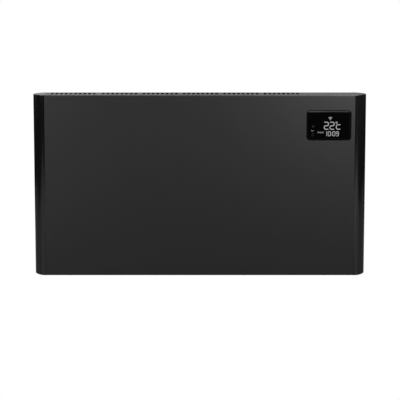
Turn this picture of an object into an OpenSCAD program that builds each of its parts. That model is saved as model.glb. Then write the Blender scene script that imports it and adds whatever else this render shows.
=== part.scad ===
// Wall-hung panel convector heater with a steel casing, moulded end caps and a display.
// +X is to the right seen from the room, the front faces -Y and the wall is the plane y = 0.
// The origin is the centre of the wall bracket's four screw holes. Sizes are in millimetres.

/* [Casing] */
// Overall width across both end caps
casing_w = 709; // [690:1:760]
// Height of the casing
casing_h = 386; // [375:1:430]
// Depth of the casing from its front face to its rear panel
casing_d = 80; // [78:1:92]
// Thickness of the casing's sheet steel
sheet_t = 1.0; // [0.8:0.1:1.2]
// Outer radius of the casing's folds
bend_r = 2.5; // [2:0.1:3]
// Depth of the lip under the front cover
lip_d = 14; // [12:0.5:18]
// Height of the flanges that the rear panel is screwed to
flange_h = 12; // [10:0.5:14]
// Width of the end plates' own flanges
end_flange_w = 9; // [8:0.5:11]
// Gap left between sheet edges that meet no screw
edge_gap = 0.2; // [0.1:0.05:0.4]

/* [End caps] */
// How far an end cap stands out from the sheet casing
cap_w = 26.5; // [24:0.5:30]
// Corner radius of an end cap, seen from above
cap_corner_r = 18; // [14:0.5:19]
// Wall of an end cap
cap_wall = 2.2; // [1.8:0.1:3]
// Radius of the screw bosses inside an end cap
cap_boss_r = 4.5; // [4:0.1:6]
// Distance of the outer cap screws from the middle one
cap_screw_step = 160; // [158:1:166]

/* [Air openings] */
// Width of one air slot
slot_w = 5.5; // [4:0.1:6.5]
// Length of one air slot, front to back
slot_len = 45; // [36:0.5:46]
// Distance from the front face to the middle of the slots
slot_depth = 43; // [41:0.5:44]
// Pitch of the slots in a group
slot_pitch = 9.9; // [8:0.1:10]
// Slots in the first group
first_slots = 10; // [8:1:10]
// Slots in each other group
group_slots = 8; // [6:1:8]
// Number of groups of slots
slot_groups = 6; // [4:1:6]
// Distance across the plain strip after the first group
first_gap = 19.8; // [16:0.1:20]
// Distance across the plain strip after each other group
group_gap = 16.9; // [14:0.1:17]
// Distance of the first slot's middle from the left end of the sheet casing
slot_margin = 13.6; // [13:0.1:15]
// Height of one inlet slot in the rear panel
vent_h = 30; // [20:1:34]
// Width of one inlet slot in the rear panel
vent_w = 4; // [3:0.5:5]
// Number of inlet slots in the rear panel
vent_count = 18; // [10:1:18]
// Pitch of the inlet slots in the rear panel
vent_pitch = 12; // [9:0.5:12]
// Height of the inlet slots' middle above the underside
vent_height = 48; // [44:1:50]

/* [Wall bracket] */
// Gap between the wall and the rear panel
wall_gap = 18; // [16:0.5:24]
// Height of the middle of the screw pattern above the underside
screw_height = 190; // [180:1:195]
// Distance between the bracket's screw columns
screw_span_x = 280; // [260:1:290]
// Distance between the bracket's screw rows
screw_span_z = 200; // [190:1:210]
// Radius of the bracket's wall screw holes
wall_hole_r = 3.25; // [2.5:0.05:4]
// Width of a bracket rail
rail_w = 36; // [32:1:42]
// Height of a bracket rail
rail_h = 240; // [230:1:250]
// Thickness of the bracket's steel
rail_t = 1.5; // [1.2:0.1:2]
// Height of the hooks' seats above and below the middle of the bracket
hook_z = 90; // [84:1:94]
// Height of a hook's neck
neck_h = 8; // [6:0.5:10]
// Height of a hook's finger above its seat
finger_h = 10; // [8:0.5:10.5]
// Thickness of a hook's finger
finger_t = 5.5; // [4:0.5:6]
// Free travel between the hooks and the rear panel
hook_air = 0.5; // [0.3:0.1:1]
// Clearance of the rear panel over the hooks' seats
seat_clear = 0.1; // [0.05:0.05:0.3]
// Width of a hook slot in the rear panel
hook_slot_w = 3; // [2.5:0.1:4]
// How far the heater is lifted to come off the hooks
lift_h = 12; // [11:0.5:13]
// Height of a crossbar
crossbar_h = 25; // [20:1:30]
// Height of the crossbars above and below the middle of the bracket
crossbar_z = 55; // [50:1:60]
// Depth of the tabs at a crossbar's ends
crossbar_tab = 12; // [10:0.5:13]
// Radius of the bracket's rivets
rivet_r = 2; // [1.5:0.1:2.5]

/* [Heating elements] */
// Height of the lower element above the underside
element_low = 65; // [62:1:70]
// Distance between the two elements
element_pitch = 70; // [68:1:76]
// Radius of an element's steel sheath
rod_r = 4.25; // [3.5:0.05:5]
// Radial clearance of the sheath in its fins and bushes
rod_clear = 0.05; // [0.02:0.01:0.1]
// Radius of the hub that the fins stand on
hub_r = 8; // [7:0.5:9]
// Length of a fin from the hub's axis
fin_reach = 31; // [24:0.5:32]
// Thickness of a fin
fin_t = 2.2; // [1.6:0.1:3]
// Angle of the fins from the vertical
fin_angle = 32; // [26:1:36]
// Distance between the notches across the fins
notch_pitch = 24; // [20:1:40]
// Width of a notch across the fins
notch_w = 3; // [2:0.5:5]
// Distance from the end plate to the left element bracket
bracket_stand = 24; // [22:1:30]
// Width of the left element bracket
bracket_w = 48; // [44:1:50]
// Height of the bracket beyond the elements' axes
bracket_rise = 22; // [18:1:24]
// Radius of a ceramic bush in its hole
bush_r = 7; // [6:0.1:8]
// Radius of a ceramic bush's flange
bush_flange_r = 10; // [9:0.1:12]
// Length of a bush on either side of its hole's sheet
bush_len = 6; // [5:0.5:7]
// Free length between a bush's flange and the fins
fin_gap = 9; // [6:0.5:14]
// Radius of a terminal pin
pin_r = 2; // [1.5:0.1:2.5]
// Length of a terminal pin beyond its bush
pin_len = 11; // [9:0.5:12]
// Thickness of the strap that joins the left pins
link_t = 1.2; // [0.8:0.1:1.5]
// Thickness of the two heat shields
shield_t = 0.6; // [0.5:0.1:0.8]
// Distance from the casing's middle plane to each heat shield
shield_reach = 30; // [28:0.5:31]
// Height of the heat shields above and below the bracket's middle
shield_z = 150; // [140:1:160]

/* [Control bay] */
// Width of the control bay at the right of the casing
bay_w = 116; // [114:1:118]
// Width of the display window
window_w = 95; // [88:0.5:96]
// Height of the display window
window_h = 64; // [60:0.5:70]
// Corner radius of the display window
window_r = 5.5; // [5:0.1:6]
// Distance of the window's middle from the right end of the sheet casing
window_side = 55; // [54:0.5:57]
// Distance from the top of the casing to the window
window_drop = 32.3; // [26:0.1:40]
// Gap all round between the window and its bezel
bezel_gap = 0.5; // [0.3:0.1:0.8]
// Visible width of the bezel
bezel_w = 3.8; // [3:0.1:4.2]
// How far the bezel stands proud of the front
bezel_proud = 0.5; // [0.3:0.1:0.8]
// Width of the bezel's flange behind the sheet
bezel_flange = 3; // [2:0.5:3.5]
// Thickness of the bezel's flange
bezel_flange_t = 1.5; // [1:0.1:2]
// Width of the ledge that the lens rests on
lens_ledge = 2; // [1.5:0.1:3]
// Thickness of the lens
lens_t = 1.5; // [1:0.1:2]
// How far the lens sits below the bezel's face
lens_sink = 0.3; // [0.2:0.1:0.5]
// Thickness of the touch foil behind the lens
foil_t = 0.3; // [0.2:0.1:0.5]
// Thickness of the display module
module_t = 4; // [3:0.1:4.5]
// Width of the display module
module_w = 60; // [50:1:66]
// Height of the display module
module_h = 34; // [28:1:38]
// Thickness of a circuit board
board_t = 1.6; // [1.2:0.1:2]
// Wall of the display's plastic carrier
carrier_wall = 2; // [1.5:0.1:2.2]
// Height of the pads under the display's board
pad_h = 0.6; // [0.4:0.1:1]
// Length of the four studs that hold the carrier
stud_len = 3.5; // [3:0.1:4]
// Radius of the carrier's studs
stud_r = 3; // [2.5:0.1:3.5]
// Width of the power board
board_w = 92; // [90:1:94]
// Height of the power board
board_h = 140; // [136:1:150]
// Height of the power board's lower edge above the underside
board_low = 80; // [76:1:84]
// Height of the power board's standoffs
standoff_h = 8; // [6:0.5:9]
// Radius of the power board's standoffs
standoff_r = 3; // [2.8:0.1:4]
// Distance between the ways of the terminal block
way_pitch = 10; // [9:0.1:10]
// Height of the relays above the power board
relay_d = 15.5; // [12:0.5:17]
// Height of the transformer above the power board
transformer_d = 22; // [18:0.5:23]
// Height of the heatsink above the power board
heatsink_d = 17; // [12:0.5:20]
// Radius of the temperature cut-out
cutout_r = 8; // [7:0.1:9]
// Radius of the room sensor
sensor_r = 2.2; // [1.8:0.1:3]

/* [Switch and cord inlet] */
// Width of the rocker
rocker_w = 10.2; // [9:0.1:12]
// Radius of the rocker's ends about its pivot
rocker_r = 8; // [7:0.1:8.5]
// Angle between the rocker's two positions
rocker_throw = 20; // [16:1:22]
// Radius of the rocker's pivot pins
pivot_r = 1; // [0.8:0.05:1.4]
// Radial clearance of the pivot pins in the housing
pivot_clear = 0.05; // [0.02:0.01:0.08]
// Gap all round between the rocker and its housing
rocker_gap = 0.3; // [0.3:0.05:0.4]
// Wall of the switch housing
switch_wall = 1.4; // [1.2:0.1:2]
// Height of the switch housing inside the casing
switch_h = 16; // [14:0.5:18]
// Bore of the cord gland
gland_bore_r = 3.5; // [3:0.1:4]
// Radius of the cord gland's threaded barrel
gland_r = 8; // [7:0.1:9]
// Length of the gland's dome below the casing
gland_dome = 6; // [4:0.5:6.5]

/* [Fasteners and leads] */
// Radius of the casing's screws
screw_r = 1.75; // [1.5:0.05:2]
// Radius of the small screws
small_screw_r = 1.25; // [1:0.05:1.4]
// Clearance of a screw in its hole
screw_clear = 0.1; // [0.05:0.05:0.2]
// Radius of an insulated lead
lead_r = 1.2; // [0.8:0.1:1.4]
// Radius of a lead's bends along its middle
lead_bend = 4; // [3:0.1:5]
// Thickness of the ribbon cable
ribbon_t = 0.8; // [0.6:0.1:1]
// Width of the ribbon cable
ribbon_w = 12; // [10:0.5:13]

/* [Hidden] */
$fn = 48;
over = 1;

// Planes of the casing
sheet_x = casing_w / 2 - cap_w;
rear_y = -wall_gap;
cover_y = rear_y - sheet_t;
front_y = rear_y - casing_d;
skin_y = front_y + sheet_t;
low_z = -screw_height;
top_z = low_z + casing_h;
deck_z = top_z - sheet_t;
base_z = low_z + 2 * sheet_t;
plate_x = sheet_x - sheet_t;
flange_y = cover_y - sheet_t;
divider_x = sheet_x - bay_w;
bay_x = divider_x + sheet_t;
middle_y = rear_y - casing_d / 2;

// Fasteners
head_ratio = 1.8;
recess_ratio = 0.8;
head_h = 1.8;
low_head_h = 1.2;
small_hole_r = small_screw_r + screw_clear;
screw_hole_r = screw_r + screw_clear;
side_screw_low = 40;
side_screw_high = 45;
side_screw_z = [low_z + side_screw_low, 0, top_z - side_screw_high];
inner_screw_x = 95;
top_screw_inset = 40;
top_screw_x = [top_screw_inset - sheet_x, -inner_screw_x, inner_screw_x, sheet_x - top_screw_inset];
lip_screw_inset = 50;
lip_screw_bay = 62;
lip_screw_x = [lip_screw_inset - sheet_x, -inner_screw_x, inner_screw_x, sheet_x - lip_screw_bay];
base_screw_near = 60;
base_screw_far = 200;
base_screw_x = [-base_screw_far, -base_screw_near, base_screw_near, base_screw_far];
lip_screw_edge = 4;
lip_screw_y = front_y + lip_d - lip_screw_edge;
top_screw_z = top_z - flange_h / 2;
base_screw_z = base_z + flange_h / 2;
side_screw_x = plate_x - end_flange_w / 2;
panel_screw_x = [-side_screw_x, bay_x + end_flange_w / 2, side_screw_x];
casing_screw_len = 9;

// Every corner arc of a folded sheet or a moulding has this many chords
arc_steps = 6;
function arc(c, r, from, to) =
  [for (i = [0:arc_steps]) c + r * [cos(from + (to - from) * i / arc_steps),
                                    sin(from + (to - from) * i / arc_steps)]];
function rounded(w, h, r) = concat(
  arc([w / 2 - r, h / 2 - r], r, 0, 90), arc([r - w / 2, h / 2 - r], r, 90, 180),
  arc([r - w / 2, r - h / 2], r, 180, 270), arc([w / 2 - r, r - h / 2], r, 270, 360));
function unit(v) = v / norm(v);

// A block between two corners given as ranges
module slab(x, y, z)
  translate([x[0], y[0], z[0]]) cube([x[1] - x[0], y[1] - y[0], z[1] - z[0]]);
// A round bar along X, Y or Z
module bar_x(r, x, y, z) translate([x[0], y, z]) rotate([0, 90, 0]) cylinder(r = r, h = x[1] - x[0]);
module bar_y(r, x, y, z) translate([x, y[1], z]) rotate([90, 0, 0]) cylinder(r = r, h = y[1] - y[0]);
module bar_z(r, x, y, z) translate([x, y, z[0]]) cylinder(r = r, h = z[1] - z[0]);
// A flat shape drawn in X and Z, thick along Y
module facing(y) translate([0, y[1], 0]) rotate([90, 0, 0]) linear_extrude(y[1] - y[0]) children();
// A flat shape drawn in Y and Z, thick along X
module sideways(x)
  translate([x[0], 0, 0]) rotate([90, 0, 90]) linear_extrude(x[1] - x[0]) children();
// A slot with round ends that lies along Y and is cut through Z
module round_slot_y(x, y, w, len, z) {
  slab([x - w / 2, x + w / 2], [y - len / 2 + w / 2, y + len / 2 - w / 2], z);
  for (s = [-1, 1]) bar_z(w / 2, x, y + s * (len / 2 - w / 2), z);
}
// A pan-head screw along +Z with its seat at z = 0 and a square recess in its head
module screw(r, len, head = head_h) {
  difference() {
    translate([0, 0, -head]) cylinder(r = r * head_ratio, h = head);
    translate([0, 0, -head - over])
      cylinder(r = r * recess_ratio, h = over + head / 2, $fn = 4);
  }
  cylinder(r = r, h = len);
}
module screw_to_front(x, y, z, r, len) translate([x, y, z]) rotate([90, 0, 0]) screw(r, len);
module screw_to_rear(x, y, z, r, len) translate([x, y, z]) rotate([-90, 0, 0]) screw(r, len);
module screw_up(x, y, z, r, len) translate([x, y, z]) screw(r, len, low_head_h);
module screw_out(x, y, z, r, len) translate([x, y, z]) rotate([0, 90, 0]) screw(r, len);

// A lead that follows a route with round bends
function turn(route, i) = acos(unit(route[i] - route[i - 1]) * unit(route[i + 1] - route[i]));
function trim(route, i, bend) =
  i == 0 || i == len(route) - 1 ? 0 : bend * tan(turn(route, i) / 2);
module lead(route, r, bend) {
  for (i = [0:len(route) - 2]) {
    u = unit(route[i + 1] - route[i]);
    a = trim(route, i, bend);
    translate(route[i] + u * a)
      rotate([0, acos(u[2]), atan2(u[1], u[0])])
        cylinder(r = r, h = norm(route[i + 1] - route[i]) - a - trim(route, i + 1, bend));
  }
  for (i = [1:1:len(route) - 2]) {
    u = unit(route[i] - route[i - 1]);
    n = unit(cross(u, unit(route[i + 1] - route[i])));
    s = cross(n, u);
    c = route[i] - u * trim(route, i, bend) + s * bend;
    multmatrix([[-s[0], u[0], n[0], c[0]], [-s[1], u[1], n[1], c[1]],
                [-s[2], u[2], n[2], c[2]], [0, 0, 0, 1]])
      rotate_extrude(angle = turn(route, i)) translate([bend, 0]) circle(r);
  }
}

// Front cover: one sheet folded to the front, the top deck, the lip below and a rear flange
cover_profile = concat(
  [[front_y + lip_d, low_z]],
  arc([front_y + bend_r, low_z + bend_r], bend_r, -90, -180),
  arc([front_y + bend_r, top_z - bend_r], bend_r, 180, 90),
  arc([cover_y - bend_r, top_z - bend_r], bend_r, 90, 0),
  [[cover_y, top_z - flange_h], [cover_y - sheet_t, top_z - flange_h]],
  arc([cover_y - bend_r, top_z - bend_r], bend_r - sheet_t, 0, 90),
  arc([front_y + bend_r, top_z - bend_r], bend_r - sheet_t, 90, 180),
  arc([front_y + bend_r, low_z + bend_r], bend_r - sheet_t, 180, 270),
  [[front_y + lip_d, low_z + sheet_t]]);
first_slot_x = -sheet_x + slot_margin;
slot_xs = concat(
  [for (i = [0:first_slots - 1]) first_slot_x + i * slot_pitch],
  [for (g = [1:slot_groups - 1]) for (i = [0:group_slots - 1])
    first_slot_x + (first_slots - 1) * slot_pitch + first_gap
      + (g - 1) * ((group_slots - 1) * slot_pitch + group_gap) + i * slot_pitch]);
window_x = sheet_x - window_side;
window_z = top_z - window_drop - window_h / 2;
stud_inset = 7;
stud_rise = 9;
stud_x = window_w / 2 - stud_inset;
stud_z = window_h / 2 + stud_rise;
module front_cover() color([0.2, 0.2, 0.21]) {
  difference() {
    sideways([-sheet_x, sheet_x]) polygon(cover_profile);
    for (x = slot_xs)
      round_slot_y(x, front_y + slot_depth, slot_w, slot_len, [deck_z - over, top_z + over]);
    translate([window_x, 0, window_z])
      facing([front_y - over, skin_y + over]) polygon(rounded(window_w, window_h, window_r));
    for (x = top_screw_x) bar_y(screw_hole_r, x, [flange_y - over, cover_y + over], top_screw_z);
    for (x = lip_screw_x) bar_z(screw_hole_r, x, lip_screw_y, [low_z - over, low_z + sheet_t + over]);
  }
  for (sx = [-1, 1], sz = [-1, 1])
    difference() {
      bar_y(stud_r, window_x + sx * stud_x, [skin_y, skin_y + stud_len], window_z + sz * stud_z);
      bar_y(small_hole_r, window_x + sx * stud_x, [skin_y, skin_y + stud_len + over],
            window_z + sz * stud_z);
    }
}

// Rear panel: a flat sheet with slots for the bracket's hooks and a row of inlet slots
rear_inset = 0.5;
hook_slot_spare = 4;
hook_slot_h = neck_h + lift_h + hook_slot_spare;
hook_x = screw_span_x / 2;
flange_x = rail_w / 2 - rail_t / 2;
module rear_panel() color([0.22, 0.22, 0.23]) difference() {
  slab([-sheet_x + edge_gap, sheet_x - edge_gap], [cover_y, rear_y],
       [low_z + rear_inset, top_z - rear_inset]);
  for (sx = [-1, 1], sf = [-1, 1], sz = [-1, 1]) {
    x = sx * hook_x + sf * flange_x;
    slab([x - hook_slot_w / 2, x + hook_slot_w / 2], [cover_y - over, rear_y + over],
         [sz * hook_z + seat_clear - hook_slot_h, sz * hook_z + seat_clear]);
  }
  for (i = [0:vent_count - 1]) {
    x = (i - (vent_count - 1) / 2) * vent_pitch;
    slab([x - vent_w / 2, x + vent_w / 2], [cover_y - over, rear_y + over],
         [low_z + vent_height - vent_h / 2, low_z + vent_height + vent_h / 2]);
  }
  for (x = top_screw_x) bar_y(screw_hole_r, x, [cover_y - over, rear_y + over], top_screw_z);
  for (x = base_screw_x) bar_y(screw_hole_r, x, [cover_y - over, rear_y + over], base_screw_z);
  for (x = panel_screw_x, z = side_screw_z)
    bar_y(screw_hole_r, x, [cover_y - over, rear_y + over], z);
}

// Base panel: lies on the cover's lip, with air slots and cutouts for the switch and the gland
base_front_y = skin_y + bend_r - sheet_t + edge_gap;
base_under_z = low_z + sheet_t;
base_end_x = plate_x - edge_gap;
base_flange_gap = 1;
base_flange_x = plate_x - end_flange_w - base_flange_gap;
switch_inset = 27;
switch_x = sheet_x - switch_inset;
switch_half_x = rocker_w / 2 + rocker_gap + switch_wall;
switch_half_y = rocker_r + rocker_gap + switch_wall;
gland_inset = 22;
gland_behind = 13;
gland_x = bay_x + gland_inset;
gland_y = middle_y + gland_behind;
module base_panel() color([0.3, 0.3, 0.31]) difference() {
  union() {
    slab([-base_end_x, base_end_x], [base_front_y, cover_y], [base_under_z, base_z]);
    slab([-base_flange_x, base_flange_x], [flange_y, cover_y], [base_under_z, base_z + flange_h]);
  }
  for (x = slot_xs)
    round_slot_y(x, middle_y, slot_w, slot_len, [base_under_z - over, base_z + over]);
  for (x = lip_screw_x)
    bar_z(screw_hole_r, x, lip_screw_y, [base_under_z - over, base_z + over]);
  for (x = base_screw_x) bar_y(screw_hole_r, x, [flange_y - over, cover_y + over], base_screw_z);
  slab([switch_x - switch_half_x - edge_gap, switch_x + switch_half_x + edge_gap],
       [middle_y - switch_half_y - edge_gap, middle_y + switch_half_y + edge_gap],
       [base_under_z - over, base_z + over]);
  bar_z(gland_r + screw_clear, gland_x, gland_y, [base_under_z - over, base_z + over]);
}

// A pressed plate that closes a section of the casing: its web starts at x = 0 and its
// flanges point to +X, where they meet the deck, the base panel and the rear panel
plate_low = base_under_z + edge_gap;
plate_high = deck_z - edge_gap;
plate_front = skin_y + edge_gap;
plate_back = flange_y - edge_gap;
function plate_profile(low) = concat(
  arc([plate_front + bend_r, low + bend_r], bend_r, 180, 270),
  [[plate_back, low]],
  arc([plate_back - bend_r, plate_high - bend_r], bend_r, 0, 90),
  arc([plate_front + bend_r, plate_high - bend_r], bend_r, 90, 180));
module pressed_plate(low, flange_low) difference() {
  rear_z = [flange_low + edge_gap, top_z - flange_h - edge_gap];
  union() {
    sideways([0, sheet_t]) polygon(plate_profile(low));
    slab([0, sheet_t + end_flange_w], [flange_y, cover_y], rear_z);
    slab([0, sheet_t], [plate_back - over, flange_y], rear_z);
    slab([0, sheet_t + end_flange_w], [base_front_y + bend_r, plate_back - bend_r],
         [deck_z - sheet_t, deck_z]);
    slab([0, sheet_t + end_flange_w], [base_front_y, plate_back], [base_z, base_z + sheet_t]);
  }
  for (z = side_screw_z)
    bar_y(screw_hole_r, sheet_t + end_flange_w / 2, [flange_y - over, cover_y + over], z);
}

// End plates: close the casing's ends and carry the end caps
cap_mid_z = (low_z + top_z) / 2;
cap_screw_z = [for (k = [-1:1]) cap_mid_z + k * cap_screw_step];
shield_flange = 6;
shield_screw_y = shield_reach + shield_flange / 2;
shield_screw_inset = 30;
shield_screw_z = [shield_screw_inset - shield_z, shield_z - shield_screw_inset];
tab_h = 12;
tab_screw_inset = 8;
bracket_top = low_z + element_low + element_pitch + bracket_rise;
bracket_low = low_z + element_low - bracket_rise;
tab_screw_y = bracket_w / 2 - tab_screw_inset;
tab_screw_z = [bracket_low + tab_h / 2, bracket_top - tab_h / 2];
module shield_holes(x)
  for (sy = [-1, 1], z = shield_screw_z)
    bar_x(small_hole_r, x, middle_y + sy * shield_screw_y, z);
module left_end_plate() color([0.62, 0.64, 0.66]) difference() {
  translate([-sheet_x, 0, 0]) pressed_plate(plate_low, base_z);
  for (z = cap_screw_z) bar_x(screw_hole_r, [-sheet_x - over, -plate_x + over], middle_y, z);
  shield_holes([-sheet_x - over, -plate_x + over]);
  for (sy = [-1, 1], z = tab_screw_z)
    bar_x(small_hole_r, [-sheet_x - over, -plate_x + over], middle_y + sy * tab_screw_y, z);
}
module right_end_plate() color([0.62, 0.64, 0.66]) difference() {
  translate([sheet_x, 0, 0]) mirror([1, 0, 0]) pressed_plate(plate_low, base_z);
  for (z = cap_screw_z) bar_x(screw_hole_r, [plate_x - over, sheet_x + over], middle_y, z);
}

// Control bay divider: keeps the electronics away from the warm air
lower_z = low_z + element_low;
upper_z = lower_z + element_pitch;
cutout_rise = 75;
cutout_z = upper_z + cutout_rise;
cutout_shoulder = 2;
cutout_neck_r = cutout_r - cutout_shoulder;
cutout_ear = 4;
cutout_screw_y = cutout_r + cutout_ear;
module control_bay_divider() color([0.66, 0.68, 0.7]) {
  through = [divider_x - over, bay_x + over];
  difference() {
    translate([divider_x, 0, 0]) pressed_plate(base_z, base_z + flange_h);
    for (z = [lower_z, upper_z]) bar_x(bush_r + screw_clear, through, middle_y, z);
    bar_x(cutout_neck_r + screw_clear, through, middle_y, cutout_z);
    for (sy = [-1, 1])
      bar_x(small_hole_r, through, middle_y + sy * cutout_screw_y, cutout_z);
    shield_holes(through);
  }
}

// End caps: moulded shells whose plan is two corner arcs joined by one wide side arc
side_r = (cap_w * cap_w + casing_d * casing_d / 4 - casing_d * cap_corner_r)
         / (2 * (cap_w - cap_corner_r));
side_angle = atan2(casing_d / 2 - cap_corner_r, side_r - cap_w);
side_steps = 18;
cap_hole_floor = 2;
function cap_plan(inset) = concat(
  arc([0, cap_corner_r], cap_corner_r - inset, -90, -side_angle),
  [for (i = [1:side_steps - 1]) let (a = side_angle * (2 * i / side_steps - 1))
    [cap_w - side_r, casing_d / 2] + (side_r - inset) * [cos(a), sin(a)]],
  arc([0, casing_d - cap_corner_r], cap_corner_r - inset, side_angle, 90));
module cap_shell() translate([sheet_x, front_y, 0]) difference() {
  union() {
    difference() {
      translate([0, 0, low_z]) linear_extrude(casing_h) polygon(cap_plan(0));
      translate([0, 0, low_z + cap_wall]) linear_extrude(casing_h - 2 * cap_wall)
        polygon(concat(cap_plan(cap_wall), [[-over, casing_d - cap_wall], [-over, cap_wall]]));
    }
    for (z = cap_screw_z) bar_x(cap_boss_r, [0, cap_w - cap_wall / 2], casing_d / 2, z);
  }
  for (z = cap_screw_z) bar_x(screw_hole_r, [-over, cap_w - 2 * cap_wall - cap_hole_floor], casing_d / 2, z);
}
module right_end_cap() color([0.07, 0.07, 0.075]) cap_shell();
module left_end_cap() color([0.07, 0.07, 0.075]) mirror([1, 0, 0]) cap_shell();

// Heat shields: thin bright sheets that turn the chamber into a chimney
module heat_shield(side) {
  y = middle_y + side * shield_reach;
  ends = [-plate_x, divider_x];
  difference() {
    union() {
      slab(ends, side > 0 ? [y, y + shield_t] : [y - shield_t, y], [-shield_z, shield_z]);
      for (x = [ends[0], ends[1] - shield_t])
        slab([x, x + shield_t], side > 0 ? [y, y + shield_flange] : [y - shield_flange, y],
             [-shield_z, shield_z]);
    }
    shield_holes([ends[0] - over, ends[0] + over]);
    shield_holes([ends[1] - over, ends[1] + over]);
  }
}
module front_heat_shield() color([0.75, 0.76, 0.78]) heat_shield(-1);
module rear_heat_shield() color([0.75, 0.76, 0.78]) heat_shield(1);

// Heating elements: a steel-sheathed rod in an aluminium body with four notched fins
bracket_x = -plate_x + bracket_stand;
rod_ends = [bracket_x + sheet_t, divider_x];
fin_ends = [rod_ends[0] + bush_len + fin_gap, rod_ends[1] - bush_len - fin_gap];
notch_rise = 4;
notch_root = hub_r + notch_rise;
notch_count = floor((fin_ends[1] - fin_ends[0]) / notch_pitch);
notch_start = (fin_ends[0] + fin_ends[1] - (notch_count - 1) * notch_pitch) / 2;
module element_fins(z) difference() {
  union() {
    bar_x(hub_r, fin_ends, middle_y, z);
    for (a = [fin_angle, -fin_angle, 180 + fin_angle, 180 - fin_angle])
      translate([0, middle_y, z]) rotate([a, 0, 0])
        slab(fin_ends, [-fin_t / 2, fin_t / 2], [0, fin_reach]);
  }
  bar_x(rod_r + rod_clear, [fin_ends[0] - over, fin_ends[1] + over], middle_y, z);
  for (i = [0:notch_count - 1], up = [-1, 1]) {
    x = notch_start + i * notch_pitch;
    slab([x - notch_w / 2, x + notch_w / 2], [middle_y - fin_reach, middle_y + fin_reach],
         up > 0 ? [z + notch_root, z + fin_reach + over] : [z - fin_reach - over, z - notch_root]);
  }
}
module lower_element_fins() color([0.78, 0.79, 0.8]) element_fins(lower_z);
module upper_element_fins() color([0.78, 0.79, 0.8]) element_fins(upper_z);
module lower_element_rod() color([0.5, 0.5, 0.52]) bar_x(rod_r, rod_ends, middle_y, lower_z);
module upper_element_rod() color([0.5, 0.5, 0.52]) bar_x(rod_r, rod_ends, middle_y, upper_z);

// Ceramic bushes hold the rods' ends and let the terminal pins through
module bush(z) difference() {
  union() {
    bar_x(bush_flange_r, [0, bush_len], middle_y, z);
    bar_x(bush_r, [-sheet_t - bush_len, over], middle_y, z);
  }
  bar_x(rod_r + rod_clear, [0, bush_len + over], middle_y, z);
  bar_x(pin_r + rod_clear, [-sheet_t - bush_len - over, over], middle_y, z);
}
module element_bushes() color([0.9, 0.88, 0.82]) for (z = [lower_z, upper_z]) {
  translate([rod_ends[0], 0, 0]) bush(z);
  translate([rod_ends[1], 0, 0]) mirror([1, 0, 0]) bush(z);
}
pin_reach = sheet_t + bush_len + pin_len;
module element_terminals() color([0.8, 0.72, 0.45]) for (z = [lower_z, upper_z]) {
  bar_x(pin_r, [rod_ends[0] - pin_reach, rod_ends[0]], middle_y, z);
  bar_x(pin_r, [rod_ends[1], rod_ends[1] + pin_reach], middle_y, z);
}
link_x = rod_ends[0] - sheet_t - bush_len - link_t;
link_margin = 4;
link_half = pin_r + link_margin;
module element_link() color([0.8, 0.72, 0.45]) difference() {
  slab([link_x, link_x + link_t], [middle_y - link_half, middle_y + link_half],
       [lower_z - link_half, upper_z + link_half]);
  for (z = [lower_z, upper_z])
    bar_x(pin_r + rod_clear, [link_x - over, link_x + link_t + over], middle_y, z);
}

// Element bracket: a folded channel on the left end plate
module element_bracket() color([0.62, 0.64, 0.66]) difference() {
  y = [middle_y - bracket_w / 2, middle_y + bracket_w / 2];
  union() {
    slab([bracket_x, bracket_x + sheet_t], y, [bracket_low, bracket_top]);
    slab([-plate_x, bracket_x + sheet_t], y, [bracket_low, bracket_low + sheet_t]);
    slab([-plate_x, bracket_x + sheet_t], y, [bracket_top - sheet_t, bracket_top]);
    slab([-plate_x, -plate_x + sheet_t], y, [bracket_low, bracket_low + tab_h]);
    slab([-plate_x, -plate_x + sheet_t], y, [bracket_top - tab_h, bracket_top]);
  }
  for (z = [lower_z, upper_z])
    bar_x(bush_r + screw_clear, [bracket_x - over, bracket_x + sheet_t + over], middle_y, z);
  for (sy = [-1, 1], z = tab_screw_z)
    bar_x(small_hole_r, [-plate_x - over, -plate_x + sheet_t + over],
          middle_y + sy * tab_screw_y, z);
}

// Temperature cut-out: a bimetal disc in a can, flanged to the divider above the elements
cutout_flange_t = 1;
cutout_can = 10;
cutout_half_h = 7;
cutout_neck_len = 4;
blade_start = bay_x + cutout_neck_len;
blade_len = 8;
blade_t = 0.8;
blade_w = 5;
blade_step = 5;
module thermal_cutout() color([0.6, 0.58, 0.55]) {
  bar_x(cutout_r, [divider_x - cutout_flange_t - cutout_can, divider_x - cutout_flange_t],
        middle_y, cutout_z);
  difference() {
    slab([divider_x - cutout_flange_t, divider_x],
         [middle_y - cutout_screw_y - cutout_ear, middle_y + cutout_screw_y + cutout_ear],
         [cutout_z - cutout_half_h, cutout_z + cutout_half_h]);
    for (sy = [-1, 1])
      bar_x(small_hole_r, [divider_x - cutout_flange_t - over, divider_x + over],
            middle_y + sy * cutout_screw_y, cutout_z);
  }
  bar_x(cutout_neck_r, [divider_x - cutout_flange_t, blade_start], middle_y, cutout_z);
  for (s = [-1, 1])
    slab([blade_start - over, blade_start + blade_len],
         [middle_y - blade_w / 2, middle_y + blade_w / 2],
         [cutout_z + s * blade_step - blade_t / 2, cutout_z + s * blade_step + blade_t / 2]);
}

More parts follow.
